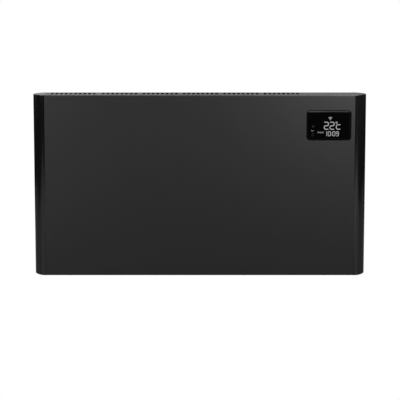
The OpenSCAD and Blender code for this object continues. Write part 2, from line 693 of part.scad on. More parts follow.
// Room sensor: a small capsule that stands in a clip by the inlet
sensor_inset = 19;
sensor_behind = 13;
sensor_x = sheet_x - sensor_inset;
sensor_y = skin_y + sensor_behind;
clip_foot = 3;
clip_foot_x = 7;
clip_foot_y = 6;
clip_post = 4;
clip_h = 16;
clip_floor = 1;
sensor_floor = base_z + clip_foot + clip_floor;
sensor_len = 14;
module sensor_clip() color([0.85, 0.85, 0.83]) difference() {
  union() {
    slab([sensor_x - clip_foot_x, sensor_x + clip_foot_x],
         [sensor_y - clip_foot_y, sensor_y + clip_foot_y], [base_z, base_z + clip_foot]);
    slab([sensor_x - clip_post, sensor_x + clip_post],
         [sensor_y - clip_post, sensor_y + clip_post], [base_z, base_z + clip_h]);
  }
  bar_z(sensor_r + screw_clear, sensor_x, sensor_y, [sensor_floor, base_z + clip_h + over]);
}
module room_sensor() color([0.12, 0.12, 0.12])
  bar_z(sensor_r, sensor_x, sensor_y, [sensor_floor, sensor_floor + sensor_len]);

// Display: bezel, lens, touch foil, module and board stand behind each other in the window
bezel_y = front_y - bezel_proud;
lens_y = bezel_y + lens_sink;
lens_back = lens_y + lens_t;
foil_back = lens_back + foil_t;
module_back = foil_back + module_t;
display_board_back = module_back + board_t;
carrier_floor = display_board_back + pad_h;
carrier_back = carrier_floor + carrier_wall;
bezel_back = skin_y + bezel_flange_t;
bezel_out_w = window_w - 2 * bezel_gap;
bezel_out_h = window_h - 2 * bezel_gap;
bezel_in_w = bezel_out_w - 2 * bezel_w;
bezel_in_h = bezel_out_h - 2 * bezel_w;
bezel_in_r = window_r - bezel_gap - bezel_w;
carrier_w = window_w + 2 * bezel_flange;
carrier_h = window_h + 2 * bezel_flange;
lens_clear = 0.1;
module in_window() translate([window_x, 0, window_z]) children();
module display_bezel() color([0.05, 0.05, 0.055]) in_window() difference() {
  union() {
    facing([bezel_y, bezel_back])
      polygon(rounded(bezel_out_w, bezel_out_h, window_r - bezel_gap));
    facing([skin_y, bezel_back]) polygon(rounded(carrier_w, carrier_h, window_r));
  }
  facing([bezel_y - over, lens_back]) polygon(rounded(bezel_in_w, bezel_in_h, bezel_in_r));
  facing([bezel_y - over, bezel_back + over])
    square([bezel_in_w - 2 * lens_ledge, bezel_in_h - 2 * lens_ledge], center = true);
}
module display_lens() color([0.02, 0.02, 0.022]) in_window() facing([lens_y, lens_back])
  polygon(rounded(bezel_in_w - 2 * lens_clear, bezel_in_h - 2 * lens_clear, bezel_in_r - lens_clear));
module touch_foil() color([0.7, 0.6, 0.35]) in_window() facing([lens_back, foil_back])
  square([bezel_in_w - 2 * lens_ledge - 2 * edge_gap, bezel_in_h - 2 * lens_ledge - 2 * edge_gap],
         center = true);
module_shift = 2;
module display_module() color([0.1, 0.12, 0.14]) in_window()
  slab([module_shift - module_w / 2, module_shift + module_w / 2], [foil_back, module_back],
       [-module_h / 2, module_h / 2]);
display_board_inset = 5;
display_board_w = window_w - 2 * display_board_inset;
display_board_h = window_h - 2 * display_board_inset;
board_hole_inset = 4;
pad_x = display_board_w / 2 - board_hole_inset;
pad_z = display_board_h / 2 - board_hole_inset;
pad_r = 3;
ribbon_shift = 18;
header_h = 6;
header_d = 6;
header_inset = 2;
display_header_z = window_z - display_board_h / 2 + header_inset;
module pad_holes(y)
  for (sx = [-1, 1], sz = [-1, 1]) bar_y(small_hole_r, sx * pad_x, y, sz * pad_z);
module display_board() color([0.1, 0.35, 0.2]) {
  in_window() difference() {
    slab([-display_board_w / 2, display_board_w / 2], [module_back, display_board_back],
         [-display_board_h / 2, display_board_h / 2]);
    pad_holes([module_back - over, display_board_back + over]);
  }
  translate([window_x + ribbon_shift, 0, 0])
    slab([-ribbon_w / 2, ribbon_w / 2], [module_back, display_board_back + header_d],
         [display_header_z, display_header_z + header_h]);
}

// Display carrier: a tray that clamps the display to four studs behind the front
ear_w = 10;
ear_y = skin_y + stud_len;
carrier_rim = 12;
carrier_open = display_board_w - 2 * carrier_rim;
module display_carrier() color([0.16, 0.16, 0.17]) in_window() difference() {
  union() {
    difference() {
      slab([-carrier_w / 2, carrier_w / 2], [bezel_back, carrier_back],
           [-carrier_h / 2, carrier_h / 2]);
      slab([carrier_wall - carrier_w / 2, carrier_w / 2 - carrier_wall],
           [bezel_back - over, carrier_floor],
           [carrier_wall - carrier_h / 2, carrier_h / 2 - carrier_wall]);
    }
    for (sx = [-1, 1], sz = [-1, 1])
      bar_y(pad_r, sx * pad_x, [display_board_back, carrier_back], sz * pad_z);
    for (sx = [-1, 1], sz = [-1, 1])
      slab([sx * stud_x - ear_w / 2, sx * stud_x + ear_w / 2], [ear_y, ear_y + carrier_wall],
           sz > 0 ? [carrier_h / 2 - carrier_wall / 2, stud_z + ear_w / 2]
                  : [-stud_z - ear_w / 2, carrier_wall / 2 - carrier_h / 2]);
  }
  slab([-carrier_open / 2, carrier_open / 2], [carrier_floor - over, carrier_back + over],
       [carrier_wall - carrier_h / 2, carrier_h / 2 - carrier_wall]);
  pad_holes([display_board_back - over, carrier_back + over]);
  for (sx = [-1, 1], sz = [-1, 1])
    bar_y(small_hole_r, sx * stud_x, [ear_y - over, ear_y + carrier_wall + over], sz * stud_z);
}
radio_w = 18;
radio_h = 13;
radio_x = -13;
radio_z = 8.5;
radio_board_t = 1;
radio_can_d = 2;
radio_rim = 1.5;
radio_antenna = 4;
module radio_module() color([0.7, 0.72, 0.74]) in_window() {
  x = [radio_x - radio_w / 2, radio_x + radio_w / 2];
  z = [radio_z - radio_h / 2, radio_z + radio_h / 2];
  slab(x, [display_board_back, display_board_back + radio_board_t], z);
  slab([x[0] + radio_rim, x[1] - radio_antenna],
       [display_board_back + radio_board_t / 2, display_board_back + radio_board_t + radio_can_d],
       [z[0] + radio_rim, z[1] - radio_rim]);
}

// Power board: stands off the rear panel, its parts face the front
board_back = cover_y - standoff_h;
board_face = board_back - board_t;
board_z0 = low_z + board_low;
board_x = window_x;
standoff_x = board_w / 2 - board_hole_inset;
standoff_z = [board_z0 + board_hole_inset, board_z0 + board_h - board_hole_inset];
block_d = 12;
block_h = 13;
block_inset = 6;
block_z = board_z0 + block_inset;
ways = 7;
way_hole_d = 3;
way_y = board_face - block_d / 2;
function way_x(i) = board_x + (i - (ways - 1) / 2) * way_pitch;
ribbon_x = window_x + ribbon_shift;
power_header_drop = 18;
power_header_z = board_z0 + board_h - power_header_drop;
sensor_header_inset = 8;
sensor_header_x = board_x + board_w / 2 - sensor_header_inset;
sensor_header_w = 6;
sensor_header_d = 5;
sensor_header_z = block_z + block_h + sensor_header_d;
module on_board(x, z, w, h, d)
  slab([x - w / 2, x + w / 2], [board_face - d, board_face], [z - h / 2, z + h / 2]);
module power_board() color([0.1, 0.35, 0.2]) {
  difference() {
    slab([board_x - board_w / 2, board_x + board_w / 2], [board_face, board_back],
         [board_z0, board_z0 + board_h]);
    for (sx = [-1, 1], z = standoff_z)
      bar_y(small_hole_r, board_x + sx * standoff_x, [board_face - over, board_back + over], z);
  }
  slab([ribbon_x - ribbon_w / 2, ribbon_x + ribbon_w / 2], [board_face - header_d, board_back],
       [power_header_z, power_header_z + header_h]);
  slab([sensor_header_x - sensor_header_w / 2, sensor_header_x + sensor_header_w / 2],
       [board_face - sensor_header_d, board_back], [sensor_header_z, sensor_header_z + header_h]);
}
module board_standoffs() color([0.8, 0.75, 0.5]) for (sx = [-1, 1], z = standoff_z) {
  x = board_x + sx * standoff_x;
  difference() {
    bar_y(standoff_r, x, [board_back, cover_y], z);
    bar_y(small_hole_r, x, [board_back - over, cover_y + over], z);
  }
}
relay_w = 15;
relay_h = 19;
relay_x = 4;
relay_z = 36;
relay_pitch = 19;
module relays() color([0.12, 0.25, 0.5])
  for (i = [0:1])
    on_board(board_x + relay_x + i * relay_pitch, board_z0 + relay_z, relay_w, relay_h, relay_d);
core_w = 36;
core_h = 32;
core_share = 0.65;
coil_w = 25;
coil_h = 24;
transformer_x = 13;
transformer_z = 68;
module transformer() color([0.75, 0.7, 0.55]) {
  x = board_x + transformer_x;
  z = board_z0 + transformer_z;
  on_board(x, z, core_w, core_h, transformer_d * core_share);
  on_board(x, z, coil_w, coil_h, transformer_d);
}
capacitor_r = 5;
capacitor_len = 18;
capacitor_x = -33;
capacitor_z = [58, 72];
film_x = -19;
film_z = 60;
film_w = 9;
film_h = 22;
film_d = 14;
module capacitors() color([0.15, 0.15, 0.3]) {
  for (z = capacitor_z)
    bar_y(capacitor_r, board_x + capacitor_x, [board_face - capacitor_len, board_face],
          board_z0 + z);
  on_board(board_x + film_x, board_z0 + film_z, film_w, film_h, film_d);
}
module terminal_block() color([0.15, 0.4, 0.25]) difference() {
  slab([way_x(0) - way_pitch / 2, way_x(ways - 1) + way_pitch / 2],
       [board_face - block_d, board_face], [block_z, block_z + block_h]);
  for (i = [0:ways - 1])
    bar_y(way_pitch / 4, way_x(i),
          [board_face - block_d - over, board_face - block_d + way_hole_d],
          block_z + block_h / 2);
}
heatsink_x = -23;
heatsink_z = 110;
heatsink_w = 26;
heatsink_h = 28;
heatsink_base = 3;
heatsink_fin = 1.6;
heatsink_pitch = 5.8;
module heatsink() color([0.7, 0.7, 0.72]) {
  x = board_x + heatsink_x;
  z = board_z0 + heatsink_z;
  on_board(x, z, heatsink_w, heatsink_h, heatsink_base);
  for (i = [-2:2]) on_board(x + i * heatsink_pitch, z, heatsink_fin, heatsink_h, heatsink_d);
}
fuse_x = -20;
fuse_z = 32;
fuse_r = 2.6;
fuse_half = 11;
fuse_stand = 6;
fuse_clip_x = 9;
fuse_clip_w = 4;
fuse_clip_h = 7;
fuse_clip_d = 8;
module fuse() color([0.8, 0.82, 0.84]) {
  x = board_x + fuse_x;
  z = board_z0 + fuse_z;
  bar_x(fuse_r, [x - fuse_half, x + fuse_half], board_face - fuse_stand, z);
  for (s = [-1, 1]) on_board(x + s * fuse_clip_x, z, fuse_clip_w, fuse_clip_h, fuse_clip_d);
}

// Ribbon cable: creased flat from the display's board down to the power board
ribbon_stand = 38;
ribbon_y = board_face - ribbon_stand;
ribbon_top = display_header_z + header_h / 2;
ribbon_low = power_header_z + header_h / 2;
module ribbon_cable() color([0.8, 0.8, 0.82])
  sideways([ribbon_x - ribbon_w / 2, ribbon_x + ribbon_w / 2]) polygon([
    [display_board_back + header_d, ribbon_top - ribbon_t / 2],
    [ribbon_y - ribbon_t / 2, ribbon_top - ribbon_t / 2],
    [ribbon_y - ribbon_t / 2, ribbon_low - ribbon_t / 2],
    [board_face - header_d, ribbon_low - ribbon_t / 2],
    [board_face - header_d, ribbon_low + ribbon_t / 2],
    [ribbon_y + ribbon_t / 2, ribbon_low + ribbon_t / 2],
    [ribbon_y + ribbon_t / 2, ribbon_top + ribbon_t / 2],
    [display_board_back + header_d, ribbon_top + ribbon_t / 2]]);

// Mains switch: a rocker in a snapped-in housing under the control bay
switch_flange = 1.5;
switch_flange_t = 1.6;
switch_face = base_under_z - switch_flange_t;
switch_top = base_under_z + switch_h;
pivot_depth = 3;
pivot_z = switch_face + pivot_depth;
pivot_len = 1;
pivot_play = 0.2;
pocket_floor = 4;
pocket_x = rocker_w / 2 + rocker_gap;
pocket_y = rocker_r + rocker_gap;
switch_blade = 8;
module switch_housing() color([0.08, 0.08, 0.085]) translate([switch_x, middle_y, 0]) {
  difference() {
    union() {
      slab([-switch_half_x - switch_flange, switch_half_x + switch_flange],
           [-switch_half_y - switch_flange, switch_half_y + switch_flange],
           [switch_face, base_under_z]);
      slab([-switch_half_x, switch_half_x], [-switch_half_y, switch_half_y],
           [switch_face, switch_top]);
    }
    slab([-pocket_x, pocket_x], [-pocket_y, pocket_y], [switch_face - over, pivot_z + pocket_floor]);
    bar_x(pivot_r + pivot_clear, [-pocket_x - pivot_len, pocket_x + pivot_len], 0, pivot_z);
  }
  for (s = [-1, 1])
    slab([-blade_w / 2, blade_w / 2], [s * blade_step - blade_t / 2, s * blade_step + blade_t / 2],
         [switch_top - over, switch_top + switch_blade]);
}
rocker_back = 2;
rocker_dip = 3.6;
rocker_tip = 5.2;
module switch_rocker() color([0.06, 0.06, 0.065])
  translate([switch_x, middle_y, pivot_z]) rotate([-rocker_throw / 2, 0, 0]) {
    intersection() {
      bar_x(rocker_r, [-rocker_w / 2, rocker_w / 2], 0, 0);
      sideways([-rocker_w / 2 - over, rocker_w / 2 + over]) polygon([
        [-rocker_r - over, rocker_back], [-rocker_r - over, -rocker_tip], [0, -rocker_dip],
        [rocker_r + over, -rocker_tip], [rocker_r + over, rocker_back]]);
    }
    bar_x(pivot_r, [pivot_play - pocket_x - pivot_len, pocket_x + pivot_len - pivot_play], 0, 0);
  }

// Cord gland: a flanged nozzle held from inside by a nut
gland_rim = 3;
gland_flange_r = gland_r + gland_rim;
gland_flange_t = 2.5;
gland_nut_h = 5;
gland_nut_rim = 4;
gland_spare = 5;
gland_nose_wall = 3;
gland_shoulder = 1;
gland_top = base_z + gland_nut_h + gland_spare;
gland_bottom = base_under_z - gland_flange_t - gland_dome;
module cord_gland() color([0.07, 0.07, 0.075]) difference() {
  union() {
    bar_z(gland_flange_r, gland_x, gland_y, [base_under_z - gland_flange_t, base_under_z]);
    bar_z(gland_r, gland_x, gland_y, [base_under_z - over, gland_top]);
    translate([gland_x, gland_y, gland_bottom])
      cylinder(r1 = gland_bore_r + gland_nose_wall, r2 = gland_flange_r - gland_shoulder,
               h = gland_dome + over / 2);
  }
  bar_z(gland_bore_r, gland_x, gland_y, [gland_bottom - over, gland_top + over]);
}
module gland_nut() color([0.1, 0.1, 0.1]) difference() {
  translate([gland_x, gland_y, base_z]) 
    cylinder(r = gland_r + gland_nut_rim, h = gland_nut_h, $fn = 6);
  bar_z(gland_r + screw_clear, gland_x, gland_y, [base_z - over, base_z + gland_nut_h + over]);
}

// Earth stud: a welded stud with its nut
earth_inset = 14;
earth_x = sheet_x - earth_inset;
earth_stud_r = 2;
earth_stud_len = 18;
earth_nut_r = 4;
earth_nut_h = 3.2;
module earth_stud() color([0.8, 0.75, 0.5]) {
  bar_z(earth_stud_r, earth_x, way_y, [base_z, base_z + earth_stud_len]);
  translate([earth_x, way_y, base_z]) cylinder(r = earth_nut_r, h = earth_nut_h, $fn = 6);
}

// Leads: each ends in a terminal, a blade or a way of the terminal block
pin_end = rod_ends[1] + pin_reach;
blade_end = blade_start + blade_len;
lead_drop = 12;
dip_z = block_z - lead_drop;
module element_leads() color([0.85, 0.85, 0.82]) {
  lead([[pin_end, middle_y, lower_z], [way_x(0), middle_y, lower_z],
        [way_x(0), way_y, lower_z], [way_x(0), way_y, block_z]], lead_r, lead_bend);
  lead([[pin_end, middle_y, upper_z], [way_x(1), middle_y, upper_z], [way_x(1), middle_y, dip_z],
        [way_x(1), way_y, dip_z], [way_x(1), way_y, block_z]], lead_r, lead_bend);
}
module cutout_leads() color([0.75, 0.2, 0.15]) for (s = [-1, 1]) {
  x = way_x(s < 0 ? 2 : 3);
  z = cutout_z + s * blade_step;
  lead([[blade_end, middle_y, z], [x, middle_y, z], [x, middle_y, dip_z], [x, way_y, dip_z],
        [x, way_y, block_z]], lead_r, lead_bend);
}
switch_drop = 39;
switch_drop_step = 3;
module switch_leads() color([0.15, 0.3, 0.65]) for (s = [-1, 1]) {
  x = way_x(s < 0 ? 4 : 5);
  z = block_z - switch_drop - s * switch_drop_step;
  y = middle_y + s * blade_step;
  lead([[switch_x, y, switch_top + switch_blade], [switch_x, y, z], [x, y, z], [x, way_y, z],
        [x, way_y, block_z]], lead_r, lead_bend);
}
crimp_r = 2.2;
crimp_len = 7;
earth_drop = 26;
earth_top = base_z + earth_stud_len;
earth_dip_z = block_z - earth_drop;
module earth_lead() color([0.55, 0.7, 0.2]) {
  bar_z(crimp_r, earth_x, way_y, [earth_top, earth_top + crimp_len]);
  lead([[earth_x, way_y, earth_top + crimp_len], [earth_x, way_y, earth_dip_z],
        [way_x(6), way_y, earth_dip_z], [way_x(6), way_y, block_z]], lead_r, lead_bend);
}
sensor_lead_y = board_face - sensor_header_d / 2;
sensor_lead_r = 0.9;
sensor_drop = 46;
sensor_dip_z = block_z - sensor_drop;
module sensor_lead() color([0.2, 0.2, 0.2])
  lead([[sensor_x, sensor_y, sensor_floor + sensor_len], [sensor_x, sensor_y, sensor_dip_z],
        [sensor_x, sensor_lead_y, sensor_dip_z], [sensor_x, sensor_lead_y, sensor_header_z]],
       sensor_lead_r, lead_bend);

// Screws
cap_screw_spare = 4;
small_screw_len = 5;
tip_spare = 0.5;
module casing_screws() color([0.55, 0.55, 0.57]) {
  for (x = top_screw_x) screw_to_front(x, rear_y, top_screw_z, screw_r, casing_screw_len);
  for (x = base_screw_x) screw_to_front(x, rear_y, base_screw_z, screw_r, casing_screw_len);
  for (x = panel_screw_x, z = side_screw_z)
    screw_to_front(x, rear_y, z, screw_r, casing_screw_len);
  for (x = lip_screw_x) screw_up(x, lip_screw_y, low_z, screw_r, casing_screw_len);
}
module end_cap_screws() color([0.55, 0.55, 0.57])
  for (sx = [0, 1], z = cap_screw_z) mirror([sx, 0, 0])
    screw_out(plate_x, middle_y, z, screw_r,
              cap_w - 2 * cap_wall - cap_screw_spare);
module board_screws() color([0.6, 0.6, 0.62]) {
  for (sx = [-1, 1], z = standoff_z)
    screw_to_rear(board_x + sx * standoff_x, board_face, z, small_screw_r,
                  board_t + standoff_h - tip_spare);
  in_window() for (sx = [-1, 1], sz = [-1, 1])
    screw_to_rear(sx * pad_x, module_back, sz * pad_z, small_screw_r,
                  board_t + pad_h + carrier_wall - tip_spare);
}
module carrier_screws() color([0.6, 0.6, 0.62]) in_window()
  for (sx = [-1, 1], sz = [-1, 1])
    screw_to_front(sx * stud_x, ear_y + carrier_wall, sz * stud_z, small_screw_r,
                   carrier_wall + stud_len - tip_spare);
module element_screws() color([0.6, 0.6, 0.62]) {
  for (sy = [-1, 1], z = tab_screw_z) mirror([1, 0, 0])
    screw_out(plate_x - sheet_t, middle_y + sy * tab_screw_y, z, small_screw_r,
              small_screw_len);
  for (sy = [-1, 1], z = shield_screw_z) {
    mirror([1, 0, 0])
      screw_out(plate_x - shield_t, middle_y + sy * shield_screw_y, z, small_screw_r,
                small_screw_len);
    screw_out(divider_x - shield_t, middle_y + sy * shield_screw_y, z, small_screw_r,
              small_screw_len);
  }
  for (sy = [-1, 1])
    screw_out(divider_x - cutout_flange_t, middle_y + sy * cutout_screw_y, cutout_z,
              small_screw_r, small_screw_len);
}

// Wall bracket: two folded rails with hooks on both flanges, joined by two riveted crossbars
hook_front = cover_y - hook_air;
hook_tip = hook_front - finger_t;
rail_front = rear_y + hook_air;
function hook_points(z) = [[rail_front, z - neck_h], [hook_tip, z - neck_h],
  [hook_tip, z + finger_h], [hook_front, z + finger_h], [hook_front, z], [rail_front, z]];
rail_profile = concat([[0, -rail_h / 2], [rail_front, -rail_h / 2]],
  hook_points(-hook_z), hook_points(hook_z), [[rail_front, rail_h / 2], [0, rail_h / 2]]);
rivet_y = -rail_t - crossbar_tab / 2;
inner_x = hook_x - rail_w / 2;
module bracket_rail() difference() {
  union() {
    slab([hook_x - rail_w / 2, hook_x + rail_w / 2], [-rail_t, 0], [-rail_h / 2, rail_h / 2]);
    for (s = [-1, 1]) {
      x = hook_x + s * flange_x;
      sideways([x - rail_t / 2, x + rail_t / 2]) polygon(rail_profile);
    }
  }
  for (s = [-1, 1]) {
    bar_y(wall_hole_r, hook_x, [-rail_t - over, over], s * screw_span_z / 2);
    bar_x(rivet_r + screw_clear, [inner_x - over, inner_x + rail_t + over], rivet_y,
          s * crossbar_z);
  }
}
module bracket_rail_right() color([0.55, 0.57, 0.6]) bracket_rail();
module bracket_rail_left() color([0.55, 0.57, 0.6]) mirror([1, 0, 0]) bracket_rail();
module bracket_crossbar(z) difference() {
  union() {
    slab([-inner_x, inner_x], [-rail_t, 0], [z - crossbar_h / 2, z + crossbar_h / 2]);
    for (x = [-inner_x, inner_x - rail_t])
      slab([x, x + rail_t], [-rail_t - crossbar_tab, 0], [z - crossbar_h / 2, z + crossbar_h / 2]);
  }
  for (s = [-1, 1])
    bar_x(rivet_r + screw_clear, s > 0 ? [inner_x - rail_t - over, inner_x + over]
                                       : [-inner_x - over, rail_t - inner_x + over], rivet_y, z);
}
module bracket_crossbar_upper() color([0.55, 0.57, 0.6]) bracket_crossbar(crossbar_z);
module bracket_crossbar_lower() color([0.55, 0.57, 0.6]) bracket_crossbar(-crossbar_z);
rivet_head_h = 1.2;
rivet_head_ratio = 1.7;
rivet_head_r = rivet_head_ratio * rivet_r;
module bracket_rivets() color([0.7, 0.7, 0.72])
  for (m = [0, 1], z = [-crossbar_z, crossbar_z]) mirror([m, 0, 0]) {
    bar_x(rivet_r, [inner_x - rail_t - over, inner_x + rail_t + over], rivet_y, z);
    bar_x(rivet_head_r, [inner_x - rail_t - rivet_head_h, inner_x - rail_t], rivet_y, z);
    bar_x(rivet_head_r, [inner_x + rail_t, inner_x + rail_t + rivet_head_h], rivet_y, z);
  }

front_cover();
rear_panel();
base_panel();
left_end_plate();
right_end_plate();
left_end_cap();
right_end_cap();
front_heat_shield();
rear_heat_shield();
control_bay_divider();
lower_element_fins();
upper_element_fins();
lower_element_rod();
upper_element_rod();
element_bushes();
element_terminals();
element_link();
element_bracket();
thermal_cutout();
room_sensor();
sensor_clip();
display_bezel();
display_lens();
touch_foil();
display_module();
display_board();
display_carrier();
radio_module();
power_board();
board_standoffs();
relays();
transformer();
capacitors();
terminal_block();
heatsink();
fuse();
ribbon_cable();
switch_housing();
switch_rocker();
cord_gland();
gland_nut();
earth_stud();
element_leads();
cutout_leads();
switch_leads();
earth_lead();
sensor_lead();
casing_screws();
end_cap_screws();
board_screws();
carrier_screws();
element_screws();
bracket_rail_left();
bracket_rail_right();
bracket_crossbar_upper();
bracket_crossbar_lower();
bracket_rivets();
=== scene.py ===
import bmesh
import bpy
import math
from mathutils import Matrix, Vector


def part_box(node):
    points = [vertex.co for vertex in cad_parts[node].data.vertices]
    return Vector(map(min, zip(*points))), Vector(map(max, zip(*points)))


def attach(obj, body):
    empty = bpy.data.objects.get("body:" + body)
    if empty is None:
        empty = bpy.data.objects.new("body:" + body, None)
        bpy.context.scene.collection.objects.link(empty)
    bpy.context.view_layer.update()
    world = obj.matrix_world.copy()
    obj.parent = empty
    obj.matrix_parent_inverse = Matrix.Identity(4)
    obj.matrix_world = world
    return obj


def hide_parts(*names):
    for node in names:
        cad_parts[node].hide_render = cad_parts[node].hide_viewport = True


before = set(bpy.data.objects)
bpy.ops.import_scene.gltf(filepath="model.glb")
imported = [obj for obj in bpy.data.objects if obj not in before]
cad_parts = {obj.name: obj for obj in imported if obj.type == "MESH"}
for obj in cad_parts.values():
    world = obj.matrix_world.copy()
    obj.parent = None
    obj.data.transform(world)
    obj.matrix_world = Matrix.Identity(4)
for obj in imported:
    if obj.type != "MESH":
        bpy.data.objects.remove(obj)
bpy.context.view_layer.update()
bpy.ops.object.select_all(action="DESELECT")

# Camera
# It stands about 3.35 m in front of the heater, a little above it, and looks down by less than
# eight degrees, so that the deck shows as a thin strip and the sides run almost straight.
camera_side = 0.0006
camera_distance = 3.4508
camera_height = 0.44
camera_pitch = math.radians(7.934)
sensor_width = 36
focal_length = 143.31
bpy.ops.object.camera_add(
    location=(camera_side, -camera_distance, camera_height),
    rotation=(math.radians(90) - camera_pitch, 0, 0),
)
camera = bpy.context.object
camera.name = "camera"
camera.data.sensor_width = sensor_width
camera.data.lens = focal_length
bpy.context.scene.camera = camera
bpy.context.scene.view_settings.view_transform = "Standard"


# Studio
# White backdrop and floor to the camera. What lights the heater is dimmer: three soft patches above
# and behind it, low bands of light behind it and at its left, a floor that is palest at its sides
# and in front, and four weak lamps around it.
def softbox(name, place, aim, width, height, power):
    """A soft rectangular lamp that faces a point."""
    bpy.ops.object.light_add(type="AREA", location=place)
    lamp = bpy.context.object
    lamp.name = name
    lamp.rotation_euler = (Vector(aim) - Vector(place)).to_track_quat("-Z", "Y").to_euler()
    lamp.data.shape = "RECTANGLE"
    lamp.data.size = width
    lamp.data.size_y = height
    lamp.data.energy = power


softbox("front_lamp", place=(0.5, -1.1, 1.1), aim=(0.2, -0.1, 0.1),
        width=0.6, height=0.4, power=2.0)
softbox("left_lamp", place=(-0.9, -0.8, 0.4), aim=(-0.2, -0.1, 0.1),
        width=0.4, height=0.4, power=3.9)
softbox("right_lamp", place=(0.45, -0.35, 0.45), aim=(0.25, -0.1, 0.1),
        width=0.2, height=0.2, power=2.1)
softbox("back_lamp", place=(-0.4, 0.9, 0.7), aim=(-0.2, -0.05, 0.19),
        width=0.4, height=0.4, power=0.65)


def add(tree, kind, values=(), **settings):
    """Adds a shader node. A value that is another node's socket is linked to its input."""
    made = tree.nodes.new("ShaderNode" + kind)
    for setting, value in settings.items():
        setattr(made, setting, value)
    for place, value in dict(values).items():
        if isinstance(value, bpy.types.NodeSocket):
            tree.links.new(value, made.inputs[place])
        else:
            made.inputs[place].default_value = value
    return made


def seen_or_lit(tree, lit):
    """The strength of a studio surface: one for what the camera sees, one for what it lights."""
    camera_ray = add(tree, "LightPath").outputs["Is Camera Ray"]
    return add(tree, "Mix", {0: camera_ray, 2: lit, 3: 1.0}).outputs[0]


def rise(tree, value, low, high, top=1.0):
    """Goes smoothly from 0 to top as a value goes from low to high."""
    steps = {0: value, 1: low, 2: high, 3: 0.0, 4: top}
    return add(tree, "MapRange", steps, interpolation_type="SMOOTHSTEP").outputs[0]


def times(tree, first, second):
    """Two values multiplied."""
    return add(tree, "Math", {0: first, 1: second}, operation="MULTIPLY").outputs[0]


def plus(tree, first, second):
    """Two values added up."""
    return add(tree, "Math", {0: first, 1: second}, operation="ADD").outputs[0]


world = bpy.data.worlds.new("studio")
world.use_nodes = True
bpy.context.scene.world = world
sky = world.node_tree
sky.nodes.clear()
heading = add(sky, "TexCoord").outputs["Generated"]
direction = add(sky, "SeparateXYZ", {0: heading}).outputs


def soft_patch(axis, edge, core, strength):
    """A round patch of the sky that is brightest around an axis."""
    nearness = add(sky, "VectorMath", {0: heading, 1: axis}, operation="DOT_PRODUCT")
    return rise(sky, nearness.outputs["Value"], edge, core, strength)


overhead = soft_patch(axis=(0, 0.34, 0.94), edge=0.77, core=0.93, strength=2.4)
higher = soft_patch(axis=(0, 0.64, 0.77), edge=0.9, core=0.97, strength=0.45)
lower = soft_patch(axis=(0, 0.8, 0.6), edge=0.92, core=0.98, strength=0.45)
under_top = rise(sky, direction["Z"], low=0.12, high=0.03)
over_floor = rise(sky, direction["Z"], low=-0.07, high=-0.03)
low_band = times(sky, under_top, over_floor)
band_strength = 0.48
backwards = rise(sky, direction["Y"], low=0.3, high=0.6)
stronger_left = rise(sky, direction["X"], low=0.1, high=-0.2, top=0.54)
behind = times(sky, backwards, plus(sky, stronger_left, band_strength))
at_left = rise(sky, direction["X"], low=-0.6, high=-0.9, top=0.12)
bands = times(sky, low_band, plus(sky, behind, at_left))
room = plus(sky, plus(sky, overhead, higher), plus(sky, lower, bands))
light = add(sky, "Background", {"Color": (1, 1, 1, 1), "Strength": seen_or_lit(sky, room)})
sky.links.new(light.outputs[0], add(sky, "OutputWorld").inputs[0])

floor_drop = 0.6
floor_low = (-4.3, -4.9)
floor_high = (4.3, 3.0)
bpy.ops.mesh.primitive_plane_add(size=1)
pale_floor = bpy.context.object
pale_floor.name = "pale_floor"
pale_floor.location = [(a + b) / 2 for a, b in zip(floor_low, floor_high)] + [-floor_drop]
pale_floor.scale = [b - a for a, b in zip(floor_low, floor_high)] + [1]
bpy.ops.object.transform_apply(location=True, rotation=True, scale=True)
floor_paint = bpy.data.materials.new("pale_floor")
floor_paint.use_nodes = True
paint = floor_paint.node_tree
paint.nodes.clear()
spot = add(paint, "SeparateXYZ", {0: add(paint, "TexCoord").outputs["Object"]}).outputs
aside = add(paint, "Math", {0: spot["X"]}, operation="ABSOLUTE").outputs[0]
beside = rise(paint, aside, low=0.5, high=1.2)
side = times(paint, beside, rise(paint, spot["Y"], low=1.2, high=0.6))
by_camera = rise(paint, spot["Y"], low=-2.2, high=-3.6)
far = times(paint, by_camera, rise(paint, spot["X"], low=-3.0, high=1.0, top=0.33))
forward = plus(paint, rise(paint, spot["Y"], low=0.0, high=-1.2, top=0.3), far)
side_strength = 0.1
floor_strength = 0.13
side_light = times(paint, side, plus(paint, forward, side_strength))
shine = seen_or_lit(paint, plus(paint, side_light, floor_strength))
glow = add(paint, "Emission", {"Color": (1, 1, 1, 1), "Strength": shine}).outputs[0]
below = add(paint, "NewGeometry").outputs["Backfacing"]
clear = add(paint, "BsdfTransparent").outputs[0]
one_sided = add(paint, "MixShader", {0: below, 1: glow, 2: clear})
paint.links.new(one_sided.outputs[0], add(paint, "OutputMaterial").inputs[0])
pale_floor.data.materials.append(floor_paint)


# Wall bracket
# Two rails folded from galvanised sheet, with hooks that carry the heater, joined by two riveted
# crossbars. It is screwed to the wall through four holes and stays there when the heater is lifted.
def pattern(name):
    """A node group that varies a colour, a roughness and a height over a surface."""
    tree = bpy.data.node_groups.new(name, "ShaderNodeTree")
    kinds = {"Colour": "NodeSocketColor", "Roughness": "NodeSocketFloat",
             "Size": "NodeSocketFloat", "Contrast": "NodeSocketFloat"}
    for socket, kind in kinds.items():
        tree.interface.new_socket(name=socket, in_out="INPUT", socket_type=kind)
    for socket in ("Colour", "Roughness", "Height"):
        kind = kinds.get(socket, "NodeSocketFloat")
        tree.interface.new_socket(name=socket, in_out="OUTPUT", socket_type=kind)
    given = tree.nodes.new("NodeGroupInput").outputs
    result = tree.nodes.new("NodeGroupOutput").inputs
    return tree, given, result


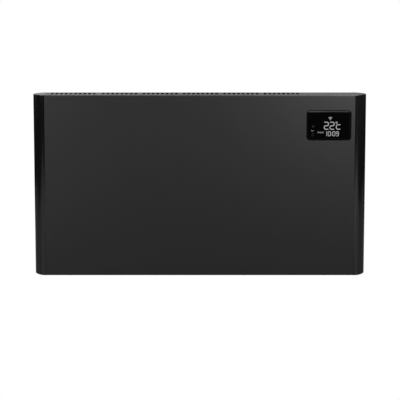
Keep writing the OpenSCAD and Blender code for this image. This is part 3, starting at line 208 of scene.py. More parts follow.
def sized(tree, given):
    """Object coordinates counted in pattern sizes instead of metres."""
    place = add(tree, "TexCoord").outputs["Object"]
    count = add(tree, "Math", {0: 1.0, 1: given["Size"]}, operation="DIVIDE").outputs[0]
    return add(tree, "VectorMath", {0: place, "Scale": count}, operation="SCALE").outputs[0]


def blend_of(tree, first, second, share):
    """A value made of two patterns, with the middle at 0: first plus a share of second."""
    total = add(tree, "Math", {0: second, 1: share, 2: first}, operation="MULTIPLY_ADD").outputs[0]
    middle = 0.5 + 0.5 * share
    return add(tree, "Math", {0: total, 1: middle}, operation="SUBTRACT").outputs[0]


def put_out(tree, given, result, change, height):
    """Lightens and darkens the colour by a change around 0, and the roughness half as much."""
    value = add(tree, "Math", {0: change, 1: given["Contrast"], 2: 1.0}, operation="MULTIPLY_ADD")
    tone = add(tree, "HueSaturation", {"Color": given["Colour"], "Value": value.outputs[0]})
    uneven = add(tree, "Math", {0: change, 1: given["Contrast"]}, operation="MULTIPLY").outputs[0]
    rough = add(tree, "Math", {0: uneven, 1: 0.5, 2: given["Roughness"]}, operation="MULTIPLY_ADD")
    tree.links.new(tone.outputs[0], result["Colour"])
    tree.links.new(rough.outputs[0], result["Roughness"])
    tree.links.new(height, result["Height"])


def finish(name, texture, colour, roughness, size, contrast, relief=0.0, **shader):
    """A surface: a pattern's colour and roughness on the shader, with relief in metres."""
    material = bpy.data.materials.new(name)
    material.use_nodes = True
    tree = material.node_tree
    surface = tree.nodes["Principled BSDF"]
    values = {"Colour": (*colour, 1), "Roughness": roughness, "Size": size, "Contrast": contrast}
    spread = add(tree, "Group", node_tree=texture)
    for socket, value in values.items():
        spread.inputs[socket].default_value = value
    tree.links.new(spread.outputs["Colour"], surface.inputs["Base Color"])
    tree.links.new(spread.outputs["Roughness"], surface.inputs["Roughness"])
    if relief:
        bump = add(tree, "Bump", {"Distance": relief, "Height": spread.outputs["Height"]})
        tree.links.new(bump.outputs[0], surface.inputs["Normal"])
    for socket, value in shader.items():
        surface.inputs[socket.replace("_", " ")].default_value = value
    return material


def apply_modifiers(piece):
    """Makes a piece's modifiers part of its mesh."""
    bpy.context.view_layer.objects.active = piece
    for modifier in list(piece.modifiers):
        bpy.ops.object.modifier_apply(modifier=modifier.name)


def soften(piece, width, steps=2, sharp=30):
    """Rounds every edge past an angle in degrees a little and shades the flat faces flat."""
    bpy.ops.object.select_all(action="DESELECT")
    piece.select_set(True)
    bpy.context.view_layer.objects.active = piece
    bevel = piece.modifiers.new("soft_edges", "BEVEL")
    bevel.width = width
    bevel.segments = steps
    bevel.limit_method = "ANGLE"
    bevel.angle_limit = math.radians(sharp)
    apply_modifiers(piece)
    smooth_below = math.radians(sharp + 20)
    bpy.ops.object.shade_smooth_by_angle(angle=smooth_below)
    even = piece.modifiers.new("even_shading", "WEIGHTED_NORMAL")
    even.keep_sharp = True
    apply_modifiers(piece)


def ready(piece, body, slot, material, *nodes):
    """A finished piece: its material, the body it moves with and the CAD nodes it stands for."""
    piece.data.materials.clear()
    piece.data.materials.append(material)
    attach(piece, body)
    if nodes:
        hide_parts(*nodes)
    piece.select_set(False)


merge_distance = 1e-6
flat_angle = math.radians(0.5)


def softened(node, body, slot, material, width):
    """A copy of a CAD piece, merged to whole faces, with its hard edges rounded."""
    piece = bpy.data.objects.new(node + "_shape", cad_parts[node].data.copy())
    bpy.context.scene.collection.objects.link(piece)
    bpy.ops.object.select_all(action="DESELECT")
    piece.select_set(True)
    bpy.context.view_layer.objects.active = piece
    bpy.ops.mesh.customdata_custom_splitnormals_clear()
    bpy.ops.object.mode_set(mode="EDIT")
    bpy.ops.mesh.select_all(action="SELECT")
    bpy.ops.mesh.remove_doubles(threshold=merge_distance)
    bpy.ops.mesh.dissolve_limited(angle_limit=flat_angle)
    bpy.ops.object.mode_set(mode="OBJECT")
    soften(piece, width)
    ready(piece, body, slot, material, node)


spangle, given, result = pattern("zinc_spangle")
flakes = add(spangle, "TexVoronoi", {"Vector": sized(spangle, given), "Scale": 1.0})
flake = add(spangle, "SeparateColor", {0: flakes.outputs["Color"]}).outputs[0]
clouds = add(spangle, "TexNoise", {"Vector": sized(spangle, given), "Scale": 0.4})
put_out(spangle, given, result, blend_of(spangle, flake, clouds.outputs[0], share=0.6), flake)

galvanised = finish("galvanised_sheet", spangle, colour=(0.55, 0.56, 0.57), roughness=0.38,
                    size=0.006, contrast=0.28, relief=1e-5, Metallic=0.9)
zinc_screw = finish("zinc_plated", spangle, colour=(0.55, 0.55, 0.56), roughness=0.28, size=0.002,
                    contrast=0.2, relief=1e-5, Metallic=1.0)
for folded in ("rail_left", "rail_right", "crossbar_upper", "crossbar_lower"):
    softened("bracket_" + folded, "bracket", "bracket_steel", galvanised, width=0.0003)
softened("bracket_rivets", "bracket", "screws", zinc_screw, width=0.0004)


# End plates and control bay divider
# Pressed from galvanised sheet with flanges above, below and behind. The end plates close the
# casing and carry the end caps, and the divider keeps the warm air away from the electronics.
def dress(material, *nodes):
    """Gives a finish to CAD pieces whose own shape is right."""
    for name in nodes:
        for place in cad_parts[name].material_slots:
            place.material = material


dress(galvanised, "left_end_plate", "right_end_plate", "control_bay_divider")

# Heat shields
# Two bright rolled sheets, in front of and behind the elements, screwed to the end plate and the
# divider. The rolling lines run along the sheet.
drawn, given, result = pattern("drawn_lines")
stretch = (0.02, 1.0, 1.0)
along = add(drawn, "VectorMath", {0: sized(drawn, given), 1: stretch}, operation="MULTIPLY")
lines = add(drawn, "TexNoise", {"Vector": along.outputs[0], "Scale": 1.0, "Detail": 2.0})
wide = add(drawn, "TexNoise", {"Vector": sized(drawn, given), "Scale": 0.05})
put_out(drawn, given, result, blend_of(drawn, lines.outputs[0], wide.outputs[0], share=0.5),
        lines.outputs[0])

rolled = finish("bright_rolled_sheet", drawn, colour=(0.74, 0.75, 0.76), roughness=0.22,
                size=0.0008, contrast=0.3, relief=8e-6, Metallic=1.0)
dress(rolled, "front_heat_shield", "rear_heat_shield")

# Heating elements
# Steel-sheathed rods in cast aluminium bodies with notched fins, held by steatite bushes in a
# folded bracket and in the divider. A brass strap joins the two left pins.
bloom, given, result = pattern("heat_bloom")
tint = add(bloom, "TexNoise", {"Vector": sized(bloom, given), "Scale": 1.0, "Detail": 3.0})
pores = add(bloom, "TexNoise", {"Vector": sized(bloom, given), "Scale": 9.0, "Detail": 2.0})
put_out(bloom, given, result, blend_of(bloom, tint.outputs[0], pores.outputs[0], share=0.4),
        pores.outputs[0])

cast = finish("cast_aluminium", bloom, colour=(0.62, 0.62, 0.61), roughness=0.42, size=0.02,
              contrast=0.35, relief=3e-5, Metallic=0.95)
sheath = finish("heat_tinted_steel", bloom, colour=(0.36, 0.31, 0.26), roughness=0.35, size=0.03,
                contrast=0.6, relief=1e-5, Metallic=0.95)
steatite = finish("steatite", bloom, colour=(0.82, 0.79, 0.71), roughness=0.6, size=0.004,
                  contrast=0.12, relief=2e-5)
brass = finish("brass", drawn, colour=(0.78, 0.6, 0.28), roughness=0.25, size=0.0006, contrast=0.2,
               relief=5e-6, Metallic=1.0)
dress(cast, "lower_element_fins", "upper_element_fins")
dress(sheath, "lower_element_rod", "upper_element_rod")
dress(steatite, "element_bushes")
dress(brass, "element_terminals", "element_link")
dress(galvanised, "element_bracket")
dress(zinc_screw, "element_screws")

# Temperature cut-out and room sensor
# A bimetal switch in a pressed can on the divider, and an epoxy bead that stands in a nylon clip
# by the inlet, away from the warm air.
grain, given, result = pattern("fine_grain")
fine = add(grain, "TexNoise", {"Vector": sized(grain, given), "Scale": 1.0, "Detail": 3.0})
broad = add(grain, "TexNoise", {"Vector": sized(grain, given), "Scale": 0.02, "Detail": 2.0})
put_out(grain, given, result, blend_of(grain, fine.outputs[0], broad.outputs[0], share=0.8),
        fine.outputs[0])

can = finish("pressed_can", drawn, colour=(0.6, 0.6, 0.58), roughness=0.3, size=0.0006,
             contrast=0.25, relief=5e-6, Metallic=1.0)
epoxy = finish("epoxy_bead", grain, colour=(0.03, 0.03, 0.03), roughness=0.35, size=0.0008,
               contrast=0.2, relief=1e-5)
nylon = finish("natural_nylon", grain, colour=(0.78, 0.77, 0.72), roughness=0.5, size=0.0006,
               contrast=0.08, relief=1e-5)
dress(can, "thermal_cutout")
dress(epoxy, "room_sensor")
dress(nylon, "sensor_clip")

# Power board
# Solder-masked laminate on brass standoffs, with two relays, a small transformer, capacitors, a
# terminal block, an extruded heatsink and a glass fuse in its clips.
tracks, given, result = pattern("board_tracks")
cells = add(tracks, "TexVoronoi", {"Vector": sized(tracks, given), "Scale": 1.0},
            distance="MANHATTAN")
copper = rise(tracks, cells.outputs["Distance"], low=0.45, high=0.55)
mask = add(tracks, "TexNoise", {"Vector": sized(tracks, given), "Scale": 0.5})
put_out(tracks, given, result, blend_of(tracks, copper, mask.outputs[0], share=0.3), copper)

wound, given, result = pattern("wound_wire")
layers = add(wound, "TexWave", {"Vector": sized(wound, given), "Scale": 0.5, "Distortion": 0.6},
             bands_direction="Z")
uneven = add(wound, "TexNoise", {"Vector": sized(wound, given), "Scale": 0.3})
put_out(wound, given, result, blend_of(wound, layers.outputs[0], uneven.outputs[0], share=0.5),
        layers.outputs[0])

laminate = finish("solder_mask", tracks, colour=(0.02, 0.14, 0.06), roughness=0.35, size=0.003,
                  contrast=0.5, relief=2e-5)
relay_case = finish("relay_case", grain, colour=(0.02, 0.09, 0.32), roughness=0.4, size=0.0007,
                    contrast=0.12, relief=1e-5)
coil = finish("taped_winding", wound, colour=(0.55, 0.42, 0.12), roughness=0.45, size=0.0015,
              contrast=0.4, relief=5e-5)
sleeve = finish("capacitor_sleeve", grain, colour=(0.02, 0.02, 0.07), roughness=0.3, size=0.0009,
                contrast=0.2, relief=1e-5)
green_block = finish("terminal_moulding", grain, colour=(0.02, 0.2, 0.08), roughness=0.45,
                     size=0.0006, contrast=0.12, relief=1e-5)
extruded = finish("extruded_fins", drawn, colour=(0.42, 0.42, 0.43), roughness=0.35, size=0.0007,
                  contrast=0.3, relief=1e-5, Metallic=1.0)
fuse_glass = finish("fuse_tube", grain, colour=(0.8, 0.85, 0.86), roughness=0.08, size=0.004,
                    contrast=0.08, Transmission_Weight=0.7)
dress(laminate, "power_board", "display_board")
dress(brass, "board_standoffs")
dress(relay_case, "relays")
dress(coil, "transformer")
dress(sleeve, "capacitors")
dress(green_block, "terminal_block")
dress(extruded, "heatsink")
dress(fuse_glass, "fuse")
dress(zinc_screw, "board_screws", "carrier_screws")

# Leads
# Silicone sleeves on the mains leads, a thin sleeve on the sensor's and a flat ribbon between the
# boards. The earth lead is green with yellow bands.
banded, given, result = pattern("earth_bands")
band = add(banded, "TexWave", {"Vector": sized(banded, given), "Scale": 0.3},
           bands_direction="DIAGONAL")
stripe = rise(banded, band.outputs[0], low=0.45, high=0.55)
yellow = (0.75, 0.6, 0.03, 1)
tone = add(banded, "Mix", {0: stripe, 6: given["Colour"], 7: yellow}, data_type="RGBA")
rough = add(banded, "Math", {0: stripe, 1: given["Contrast"], 2: given["Roughness"]},
            operation="MULTIPLY_ADD")
banded.links.new(tone.outputs[2], result["Colour"])
banded.links.new(rough.outputs[0], result["Roughness"])
banded.links.new(band.outputs[0], result["Height"])

white_sleeve = finish("white_silicone", grain, colour=(0.72, 0.71, 0.66), roughness=0.5, size=0.001,
                      contrast=0.12, relief=1e-5)
red_sleeve = finish("red_silicone", grain, colour=(0.45, 0.03, 0.02), roughness=0.5, size=0.001,
                    contrast=0.15, relief=1e-5)
blue_sleeve = finish("blue_silicone", grain, colour=(0.03, 0.09, 0.35), roughness=0.5, size=0.001,
                     contrast=0.15, relief=1e-5)
black_sleeve = finish("black_sleeve", grain, colour=(0.03, 0.03, 0.03), roughness=0.45, size=0.001,
                      contrast=0.2, relief=1e-5)
earth_sleeve = finish("green_and_yellow", banded, colour=(0.05, 0.28, 0.03), roughness=0.5,
                      size=0.004, contrast=0.05, relief=1e-5)
ribbon = finish("ribbon_sheath", drawn, colour=(0.42, 0.42, 0.43), roughness=0.5, size=0.0012,
                contrast=0.4, relief=5e-5)
dress(white_sleeve, "element_leads")
dress(red_sleeve, "cutout_leads")
dress(blue_sleeve, "switch_leads")
dress(black_sleeve, "sensor_lead")
dress(earth_sleeve, "earth_lead")
dress(ribbon, "ribbon_cable")
dress(brass, "earth_stud")


# Front cover
# One sheet of steel folded to the front, the slotted deck, the lip below and the rear flange, with
# four welded studs above and below its window. The powder coat has a very fine orange peel.
def pick_edges(test):
    """Selects, in edit mode, the edges whose two ends pass a test."""
    bpy.ops.mesh.select_mode(type="EDGE")
    bpy.ops.mesh.select_all(action="DESELECT")
    shape = bmesh.from_edit_mesh(bpy.context.object.data)
    for edge in shape.edges:
        edge.select_set(test(edge.verts[0].co, edge.verts[1].co))
    bmesh.update_edit_mesh(bpy.context.object.data)


def pick_faces(test):
    """Selects, in edit mode, the faces whose middle and normal pass a test."""
    bpy.ops.mesh.select_mode(type="FACE")
    bpy.ops.mesh.select_all(action="DESELECT")
    shape = bmesh.from_edit_mesh(bpy.context.object.data)
    for face in shape.faces:
        face.select_set(test(face.calc_center_median(), face.normal))
    bmesh.update_edit_mesh(bpy.context.object.data)


def block(name, low, high, along=None, radius=0.0, steps=6):
    """A block between two corners. Its four edges along one axis may be rounded over."""
    bpy.ops.object.select_all(action="DESELECT")
    bpy.ops.mesh.primitive_cube_add(size=1, location=[(a + b) / 2 for a, b in zip(low, high)])
    piece = bpy.context.object
    piece.name = name
    piece.scale = [b - a for a, b in zip(low, high)]
    bpy.ops.object.transform_apply(location=True, rotation=True, scale=True)
    if along is not None:
        bpy.ops.object.mode_set(mode="EDIT")
        pick_edges(lambda a, b: abs(a[along] - b[along]) > merge_distance)
        bpy.ops.mesh.bevel(offset=radius, segments=steps, affect="EDGES")
        bpy.ops.mesh.select_all(action="SELECT")
        bpy.ops.mesh.remove_doubles(threshold=merge_distance)
        bpy.ops.object.mode_set(mode="OBJECT")
    return piece


def bar(name, radius, start, end, sides=24):
    """A round bar between two points."""
    start = Vector(start)
    end = Vector(end)
    turn = (end - start).to_track_quat("Z", "Y").to_euler()
    bpy.ops.object.select_all(action="DESELECT")
    bpy.ops.mesh.primitive_cylinder_add(vertices=sides, radius=radius, depth=(end - start).length,
                                        location=(start + end) / 2, rotation=turn)
    piece = bpy.context.object
    piece.name = name
    bpy.ops.object.transform_apply(location=True, rotation=True, scale=True)
    return piece


def joined(pieces):
    """Several pieces made one object."""
    bpy.ops.object.select_all(action="DESELECT")
    for piece in pieces:
        piece.select_set(True)
    bpy.context.view_layer.objects.active = pieces[0]
    bpy.ops.object.join()
    return pieces[0]


def give_wall(piece, thickness):
    """Thickens an open surface inwards."""
    wall = piece.modifiers.new("wall", "SOLIDIFY")
    wall.thickness = thickness
    wall.offset = -1
    wall.use_even_offset = True
    apply_modifiers(piece)


def combine(piece, tool, operation="DIFFERENCE"):
    """Cuts a tool out of a piece, or joins it on, and takes the tool away."""
    change = piece.modifiers.new("combine", "BOOLEAN")
    change.operation = operation
    change.object = tool
    change.solver = "EXACT"
    apply_modifiers(piece)
    bpy.data.objects.remove(tool)


cover_low, cover_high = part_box("front_cover")
window_low, window_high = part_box("display_bezel")
sheet = 0.001
fold_radius = 0.0025
fold_steps = 10
lip_depth = 0.014
flange_height = 0.012
near = 1e-5
front_cover = block("folded_front_cover", cover_low, cover_high)
bpy.ops.object.mode_set(mode="EDIT")
pick_faces(lambda middle, normal: normal.y > 0.9 or abs(normal.x) > 0.9)
bpy.ops.mesh.delete(type="FACE")
pick_edges(lambda a, b: max(a.z, b.z) < cover_low.z + near and min(a.y, b.y) > cover_high.y - near)
bpy.ops.transform.translate(value=(0, cover_low.y + lip_depth - cover_high.y, 0))
pick_edges(lambda a, b: min(a.z, b.z) > cover_high.z - near and min(a.y, b.y) > cover_high.y - near)
bpy.ops.mesh.extrude_region_move(TRANSFORM_OT_translate={"value": (0, 0, -flange_height)})


def is_fold(a, b):
    """True for the three long edges where the sheet is folded."""
    at_front = max(a.y, b.y) < cover_low.y + near
    at_back = min(a.y, b.y) > cover_high.y - near and min(a.z, b.z) > cover_high.z - near
    return abs(a.x - b.x) > near and (at_front or at_back)


pick_edges(is_fold)
bpy.ops.mesh.bevel(offset=fold_radius, segments=fold_steps, affect="EDGES")
bpy.ops.object.mode_set(mode="OBJECT")
give_wall(front_cover, sheet)

slot_width = 0.0055
slot_length = 0.045
slot_pitch = 0.0099
slot_depth = 0.043
slot_margin = 0.0136
slot_middle = cover_low.y + slot_depth
first_slot = cover_low.x + slot_margin
first_slots = 10
group_slots = 8
slot_groups = 6
first_gap = 0.0198
group_gap = 0.0169
slot_places = [first_slot + i * slot_pitch for i in range(first_slots)]
for group in range(slot_groups - 1):
    slot_places.append(slot_places[-1] + (group_gap if group else first_gap))
    slot_places += [slot_places[-1] + i * slot_pitch for i in range(1, group_slots)]
deck_low = cover_high.z - 3 * sheet
deck_high = cover_high.z + 2 * sheet
punches = [
    block("slot_punch", (x - slot_width / 2, slot_middle - slot_length / 2, deck_low),
          (x + slot_width / 2, slot_middle + slot_length / 2, deck_high),
          along=2, radius=slot_width / 2)
    for x in slot_places
]
combine(front_cover, joined(punches))

bezel_flange = 0.003
window_radius = 0.007
window_x = (window_low.x + window_high.x) / 2
window_z = (window_low.z + window_high.z) / 2
window_punch = block(
    "window_punch", (window_low.x + bezel_flange, cover_low.y - sheet, window_low.z + bezel_flange),
    (window_high.x - bezel_flange, cover_low.y + 3 * sheet, window_high.z - bezel_flange),
    along=1, radius=window_radius)
combine(front_cover, window_punch)

screw_hole = 0.00185
top_screw_inset = 0.04
inner_screw_x = 0.095
top_screw_z = cover_high.z - flange_height / 2
lip_screw_inset = 0.004
lip_left_inset = 0.05
lip_right_inset = 0.062
lip_screw_y = cover_low.y + lip_depth - lip_screw_inset
lip_screw_x = (cover_low.x + lip_left_inset, -inner_screw_x, inner_screw_x,
               cover_high.x - lip_right_inset)
top_screw_x = (cover_low.x + top_screw_inset, -inner_screw_x, inner_screw_x,
               cover_high.x - top_screw_inset)
drills = [bar("drill", screw_hole, (x, cover_high.y - 3 * sheet, top_screw_z),
              (x, cover_high.y + sheet, top_screw_z)) for x in top_screw_x]
drills += [bar("drill", screw_hole, (x, lip_screw_y, cover_low.z - sheet),
               (x, lip_screw_y, cover_low.z + 3 * sheet)) for x in lip_screw_x]
combine(front_cover, joined(drills))
soften(front_cover, width=0.00015)

stud_inset = 0.007
stud_rise = 0.009
stud_x = (window_high.x - window_low.x) / 2 - bezel_flange - stud_inset
stud_z = (window_high.z - window_low.z) / 2 - bezel_flange + stud_rise
stud_radius = 0.003
stud_hole = 0.00135
stud_length = 0.0035
stud_floor = 0.0002
stud_front = cover_low.y + sheet
stud_back = stud_front + stud_length
studs = []
for side in (-1, 1):
    for rung in (-1, 1):
        x = window_x + side * stud_x
        z = window_z + rung * stud_z
        stud = bar("stud", stud_radius, (x, stud_front, z), (x, stud_back, z))
        hole = bar("drill", stud_hole, (x, stud_front + stud_floor, z), (x, stud_back + sheet, z))
        combine(stud, hole)
        studs.append(stud)
joined([front_cover] + studs)

powder_coat = finish("charcoal_powder_coat", grain, colour=(0.036, 0.036, 0.0365), roughness=0.5,
                     size=0.0006, contrast=0.12, relief=2e-5)
ready(front_cover, "heater", "casing_steel", powder_coat, "front_cover")

# Rear panel and base panel
# Flat steel sheets in the same powder coat, a little rougher. The rear panel has the hook slots and
# a row of inlet slots. The base panel lies on the cover's lip and carries the switch and the gland.
panel_coat = finish("charcoal_panel_coat", grain, colour=(0.036, 0.036, 0.037), roughness=0.56,
                    size=0.0007, contrast=0.14, relief=3e-5)
softened("rear_panel", "heater", "panel_steel", panel_coat, width=0.00015)
softened("base_panel", "heater", "panel_steel", panel_coat, width=0.00015)

# Casing screws
# Zinc-plated pan-head screws with a cross recess. They hold the rear panel to the cover, the base
# panel and the plates, and the base panel to the cover's lip.
head_radius = 0.00315
head_height = 0.0018
lip_head_height = 0.0012
shank_radius = 0.00175
shank_length = 0.009
dome_share = 0.55
recess_floor = 0.35
recess_arm = head_radius * 0.6
recess_blade = head_radius * 0.13


def pan_head_screw(seat, out, height, length):
    """A screw whose head stands on a point and faces along a direction."""
    seat = Vector(seat)
    out = Vector(out)
    across = Vector((1, 0, 0))
    other = out.cross(across)
    head = bar("screw", head_radius, seat, seat + out * height, sides=28)
    bpy.ops.object.mode_set(mode="EDIT")
    pick_edges(lambda a, b: min((a - seat).dot(out), (b - seat).dot(out)) > height - near)
    bpy.ops.mesh.bevel(offset=height * dome_share, segments=4, affect="EDGES")
    bpy.ops.object.mode_set(mode="OBJECT")
    for long, short in ((across, other), (other, across)):
        reach = long * recess_arm + short * recess_blade
        corners = (seat + out * height * recess_floor - reach,
                   seat + out * (height + sheet) + reach)
        low = [min(a, b) for a, b in zip(*corners)]
        high = [max(a, b) for a, b in zip(*corners)]
        combine(head, block("driver", low, high))
    shank = bar("shank", shank_radius, seat - out * length, seat, sides=16)
    return joined([head, shank])


rear_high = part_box("rear_panel")[1]
base_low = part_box("base_panel")[0]
divider_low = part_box("control_bay_divider")[0]
plate_screw_inset = 0.0045
base_screw_x = (-0.2, -0.06, 0.06, 0.2)
base_screw_z = base_low.z + sheet + flange_height / 2
side_screw_x = cover_high.x - sheet - plate_screw_inset
side_low_inset = 0.04
side_top_inset = 0.045
side_screw_z = (cover_low.z + side_low_inset, 0, cover_high.z - side_top_inset)
rear_seats = [(x, top_screw_z) for x in top_screw_x] + [(x, base_screw_z) for x in base_screw_x]
divider_screw_x = divider_low.x + sheet + plate_screw_inset
rear_seats += [(x, z) for x in (-side_screw_x, divider_screw_x, side_screw_x) for z in side_screw_z]
screws = [pan_head_screw((x, rear_high.y, z), (0, 1, 0), head_height, shank_length)
          for x, z in rear_seats]
screws += [pan_head_screw((x, lip_screw_y, cover_low.z), (0, 0, -1), lip_head_height, shank_length)
           for x in lip_screw_x]
casing_screws = joined(screws)
soften(casing_screws, width=0.00005, steps=1, sharp=40)
ready(casing_screws, "heater", "screws", zinc_screw, "casing_screws")


# End caps
# Half oval mouldings in polished black, with a wide curved side between two tight corners. Each is
# open towards the end plate and has three bosses for the screws that come through that plate.
def end_cap(node, side):
    """Spins the plan from one point in three arcs, raises it and closes it above and below."""
    low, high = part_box(node)
    width = high.x - low.x
    depth = high.y - low.y
    joint_x = low.x if side > 0 else high.x
    middle_y = (low.y + high.y) / 2
    side_radius = (width ** 2 + depth ** 2 / 4 - depth * cap_corner) / (2 * (width - cap_corner))
    half_angle = math.atan2(depth / 2 - cap_corner, side_radius - width)
    bpy.ops.object.select_all(action="DESELECT")
    bpy.ops.mesh.primitive_plane_add(size=0.001, location=(joint_x, low.y, low.z))
    cap = bpy.context.object
    cap.name = node + "_moulding"
    bpy.ops.object.transform_apply(location=True, rotation=True, scale=True)
    bpy.ops.object.mode_set(mode="EDIT")
    bpy.ops.mesh.select_mode(type="VERT")
    bpy.ops.mesh.select_all(action="SELECT")
    bpy.ops.mesh.merge(type="CENTER")
    corner = math.pi / 2 - half_angle
    arcs = ((joint_x, low.y + cap_corner, corner, corner_steps),
            (joint_x + side * (width - side_radius), middle_y, 2 * half_angle, side_steps),
            (joint_x, high.y - cap_corner, corner, corner_steps))
    for x, y, angle, steps in arcs:
        bpy.ops.mesh.spin(steps=steps, angle=-side * angle, center=(x, y, low.z), axis=(0, 0, 1))
    bpy.ops.mesh.select_all(action="SELECT")
    bpy.ops.mesh.remove_doubles(threshold=near)
    pick_edges(lambda a, b: True)
    bpy.ops.mesh.extrude_region_move(TRANSFORM_OT_translate={"value": (0, 0, high.z - low.z)})
    for z in (low.z, high.z):
        pick_edges(lambda a, b: abs(a.z - z) < near and abs(b.z - z) < near)
        bpy.ops.mesh.edge_face_add()
    bpy.ops.mesh.select_all(action="SELECT")
    bpy.ops.mesh.normals_make_consistent(inside=False)
    pick_edges(lambda a, b: abs(a.z - b.z) < near and abs(a.x + b.x - 2 * joint_x) > near)
    bpy.ops.mesh.bevel(offset=cap_rim, segments=5, affect="EDGES")
    bpy.ops.object.mode_set(mode="OBJECT")
    give_wall(cap, cap_wall)
    soften(cap, width=0.0002, sharp=50)
    bosses = []
    for step in (-1, 0, 1):
        z = (low.z + high.z) / 2 + step * cap_screw_step
        root = joint_x + side * (width - cap_wall * boss_sink)
        boss = bar("boss", boss_radius, (joint_x, middle_y, z), (root, middle_y, z))
        mouth = joint_x - side * sheet
        bottom = joint_x + side * (width - 2 * cap_wall - boss_floor)
        hole = bar("drill", screw_hole, (mouth, middle_y, z), (bottom, middle_y, z))
        combine(boss, hole)
        bosses.append(boss)
    joined([cap] + bosses)
    ready(cap, "heater", "cap_moulding", polished_black, node)


cap_corner = 0.018
corner_steps = 10
side_steps = 28
cap_wall = 0.0022
cap_rim = 0.0012
cap_screw_step = 0.16
boss_radius = 0.0045
boss_sink = 0.6
boss_floor = 0.002
polished_black = finish("polished_black_moulding", grain, colour=(0.008, 0.008, 0.0083),
                        roughness=0.11, size=0.002, contrast=0.12, relief=4e-6)
end_cap("left_end_cap", -1)
end_cap("right_end_cap", 1)
dress(zinc_screw, "end_cap_screws")

# Display bezel
# A polished black frame whose flange the carrier clamps against the back of the sheet. Its rim
# stands half a millimetre proud with a slope along the top, and the lens rests on its ledge.
bezel_gap = 0.0015
bezel_width = 0.0028
slope_width = 0.0023
slope_angle = math.radians(19.3)
lens_ledge = 0.002
lens_sink = 0.0003
lens_thickness = 0.0015
flange_front = cover_low.y + sheet
rim_low = Vector((window_low.x + bezel_flange + bezel_gap, window_low.y,
                  window_low.z + bezel_flange + bezel_gap))
rim_high = Vector((window_high.x - bezel_flange - bezel_gap, window_high.y,
                   window_high.z - bezel_flange - bezel_gap))
lens_back = rim_low.y + lens_sink + lens_thickness
bezel = block("display_frame", (window_low.x, flange_front, window_low.z), window_high,
              along=1, radius=window_radius)
rim = block("rim", rim_low, (rim_high.x, window_high.y - near, rim_high.z),
            along=1, radius=window_radius - bezel_gap)
combine(bezel, rim, "UNION")
slope = block("slope", (rim_low.x - sheet, -2 * sheet, 0),
              (rim_high.x + sheet, 0, 2 * slope_width))
slope.location = (0, rim_low.y, rim_high.z - slope_width)
slope.rotation_euler.x = -slope_angle
bpy.ops.object.transform_apply(location=True, rotation=True, scale=True)
combine(bezel, slope)
opening_radius = window_radius - bezel_gap - bezel_width
opening = block("opening", (rim_low.x + bezel_width, rim_low.y - sheet, rim_low.z + bezel_width),
                (rim_high.x - bezel_width, lens_back, rim_high.z - bezel_width),
                along=1, radius=opening_radius)
combine(bezel, opening)
ledge_inset = bezel_width + lens_ledge
ledge = block("ledge", (rim_low.x + ledge_inset, rim_low.y - sheet, rim_low.z + ledge_inset),
              (rim_high.x - ledge_inset, rim_high.y + sheet, rim_high.z - ledge_inset))
combine(bezel, ledge)
soften(bezel, width=0.0002, sharp=17)
deep_black = finish("deep_black_moulding", grain, colour=(0.0045, 0.0045, 0.0047), roughness=0.11,
                    size=0.002, contrast=0.12, relief=4e-6)
ready(bezel, "heater", "bezel_moulding", deep_black, "display_bezel")

# Display lens
# A clear plastic plate that is printed black from behind, so that only the lit segments show
# through it. It lies on the bezel's ledge and is a little lower than the rim.
lens_low, lens_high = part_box("display_lens")
lens_gap = 0.0001
lens = block("display_cover_lens", lens_low, lens_high, along=1, radius=opening_radius - lens_gap)
soften(lens, width=0.00015)
black_lens = finish("black_printed_lens", grain, colour=(0.002, 0.002, 0.0021), roughness=0.06,
                    size=0.004, contrast=0.2)
ready(lens, "heater", "display_lens", black_lens, "display_lens")


# Display marks
# Lit segments behind the lens: the room temperature, the time, a fan of three arcs and a few dim
# marks at the left. They are plain numbers and shapes, a hair proud of the lens so that they show.
def rounded_path(points, radius, steps=5):
    """A path whose inner corners are rounded with arcs."""
    path = [Vector(points[0])]
    for before, corner, after in zip(points, points[1:], points[2:]):
        corner = Vector(corner)
        back = (Vector(before) - corner).normalized() * radius
        ahead = (Vector(after) - corner).normalized() * radius
        centre = corner + back + ahead
        for i in range(steps + 1):
            turn = i / steps * math.pi / 2
            path.append(centre - back * math.sin(turn) - ahead * math.cos(turn))
    return path + [Vector(points[-1])]


def draw_marks(name, paths, stroke):
    """Draws strokes in millimetres from the window's middle, flat on the lens."""
    curve = bpy.data.curves.new(name, "CURVE")
    curve.dimensions = "3D"
    curve.bevel_depth = stroke / 2
    curve.bevel_resolution = 2
    curve.use_fill_caps = True
    for path in paths:
        spline = curve.splines.new("POLY")
        spline.points.add(len(path) - 1)
        for point, (x, z) in zip(spline.points, path):
            point.co = (x, 0, z, 1)
    drawn_marks = bpy.data.objects.new(name, curve)
    bpy.context.scene.collection.objects.link(drawn_marks)
    bpy.ops.object.select_all(action="DESELECT")
    drawn_marks.select_set(True)
    bpy.context.view_layer.objects.active = drawn_marks
    bpy.ops.object.convert(target="MESH")
    drawn_marks = bpy.context.object
    drawn_marks.scale = (millimetre, millimetre * 2 * mark_relief / stroke, millimetre)
    drawn_marks.location = (window_x, lens_low.y, window_z)
    bpy.ops.object.transform_apply(location=True, rotation=True, scale=True)
    bpy.ops.object.shade_smooth_by_angle(angle=math.radians(40))
    return drawn_marks


def two(left, low, width, height):
    """The corners of a 2, from its top left to its lower right."""
    right = left + width
    middle = low + height / 2
    top = low + height
    return [(left, top), (right, top), (right, middle), (left, middle), (left, low), (right, low)]


def zero(left, low, width, height):
    """The corners of a 0, from the middle of its top and back to it."""
    right = left + width
    top = low + height
    centre = left + width / 2
    return [(centre, top), (right, top), (right, low), (left, low), (left, top), (centre, top)]


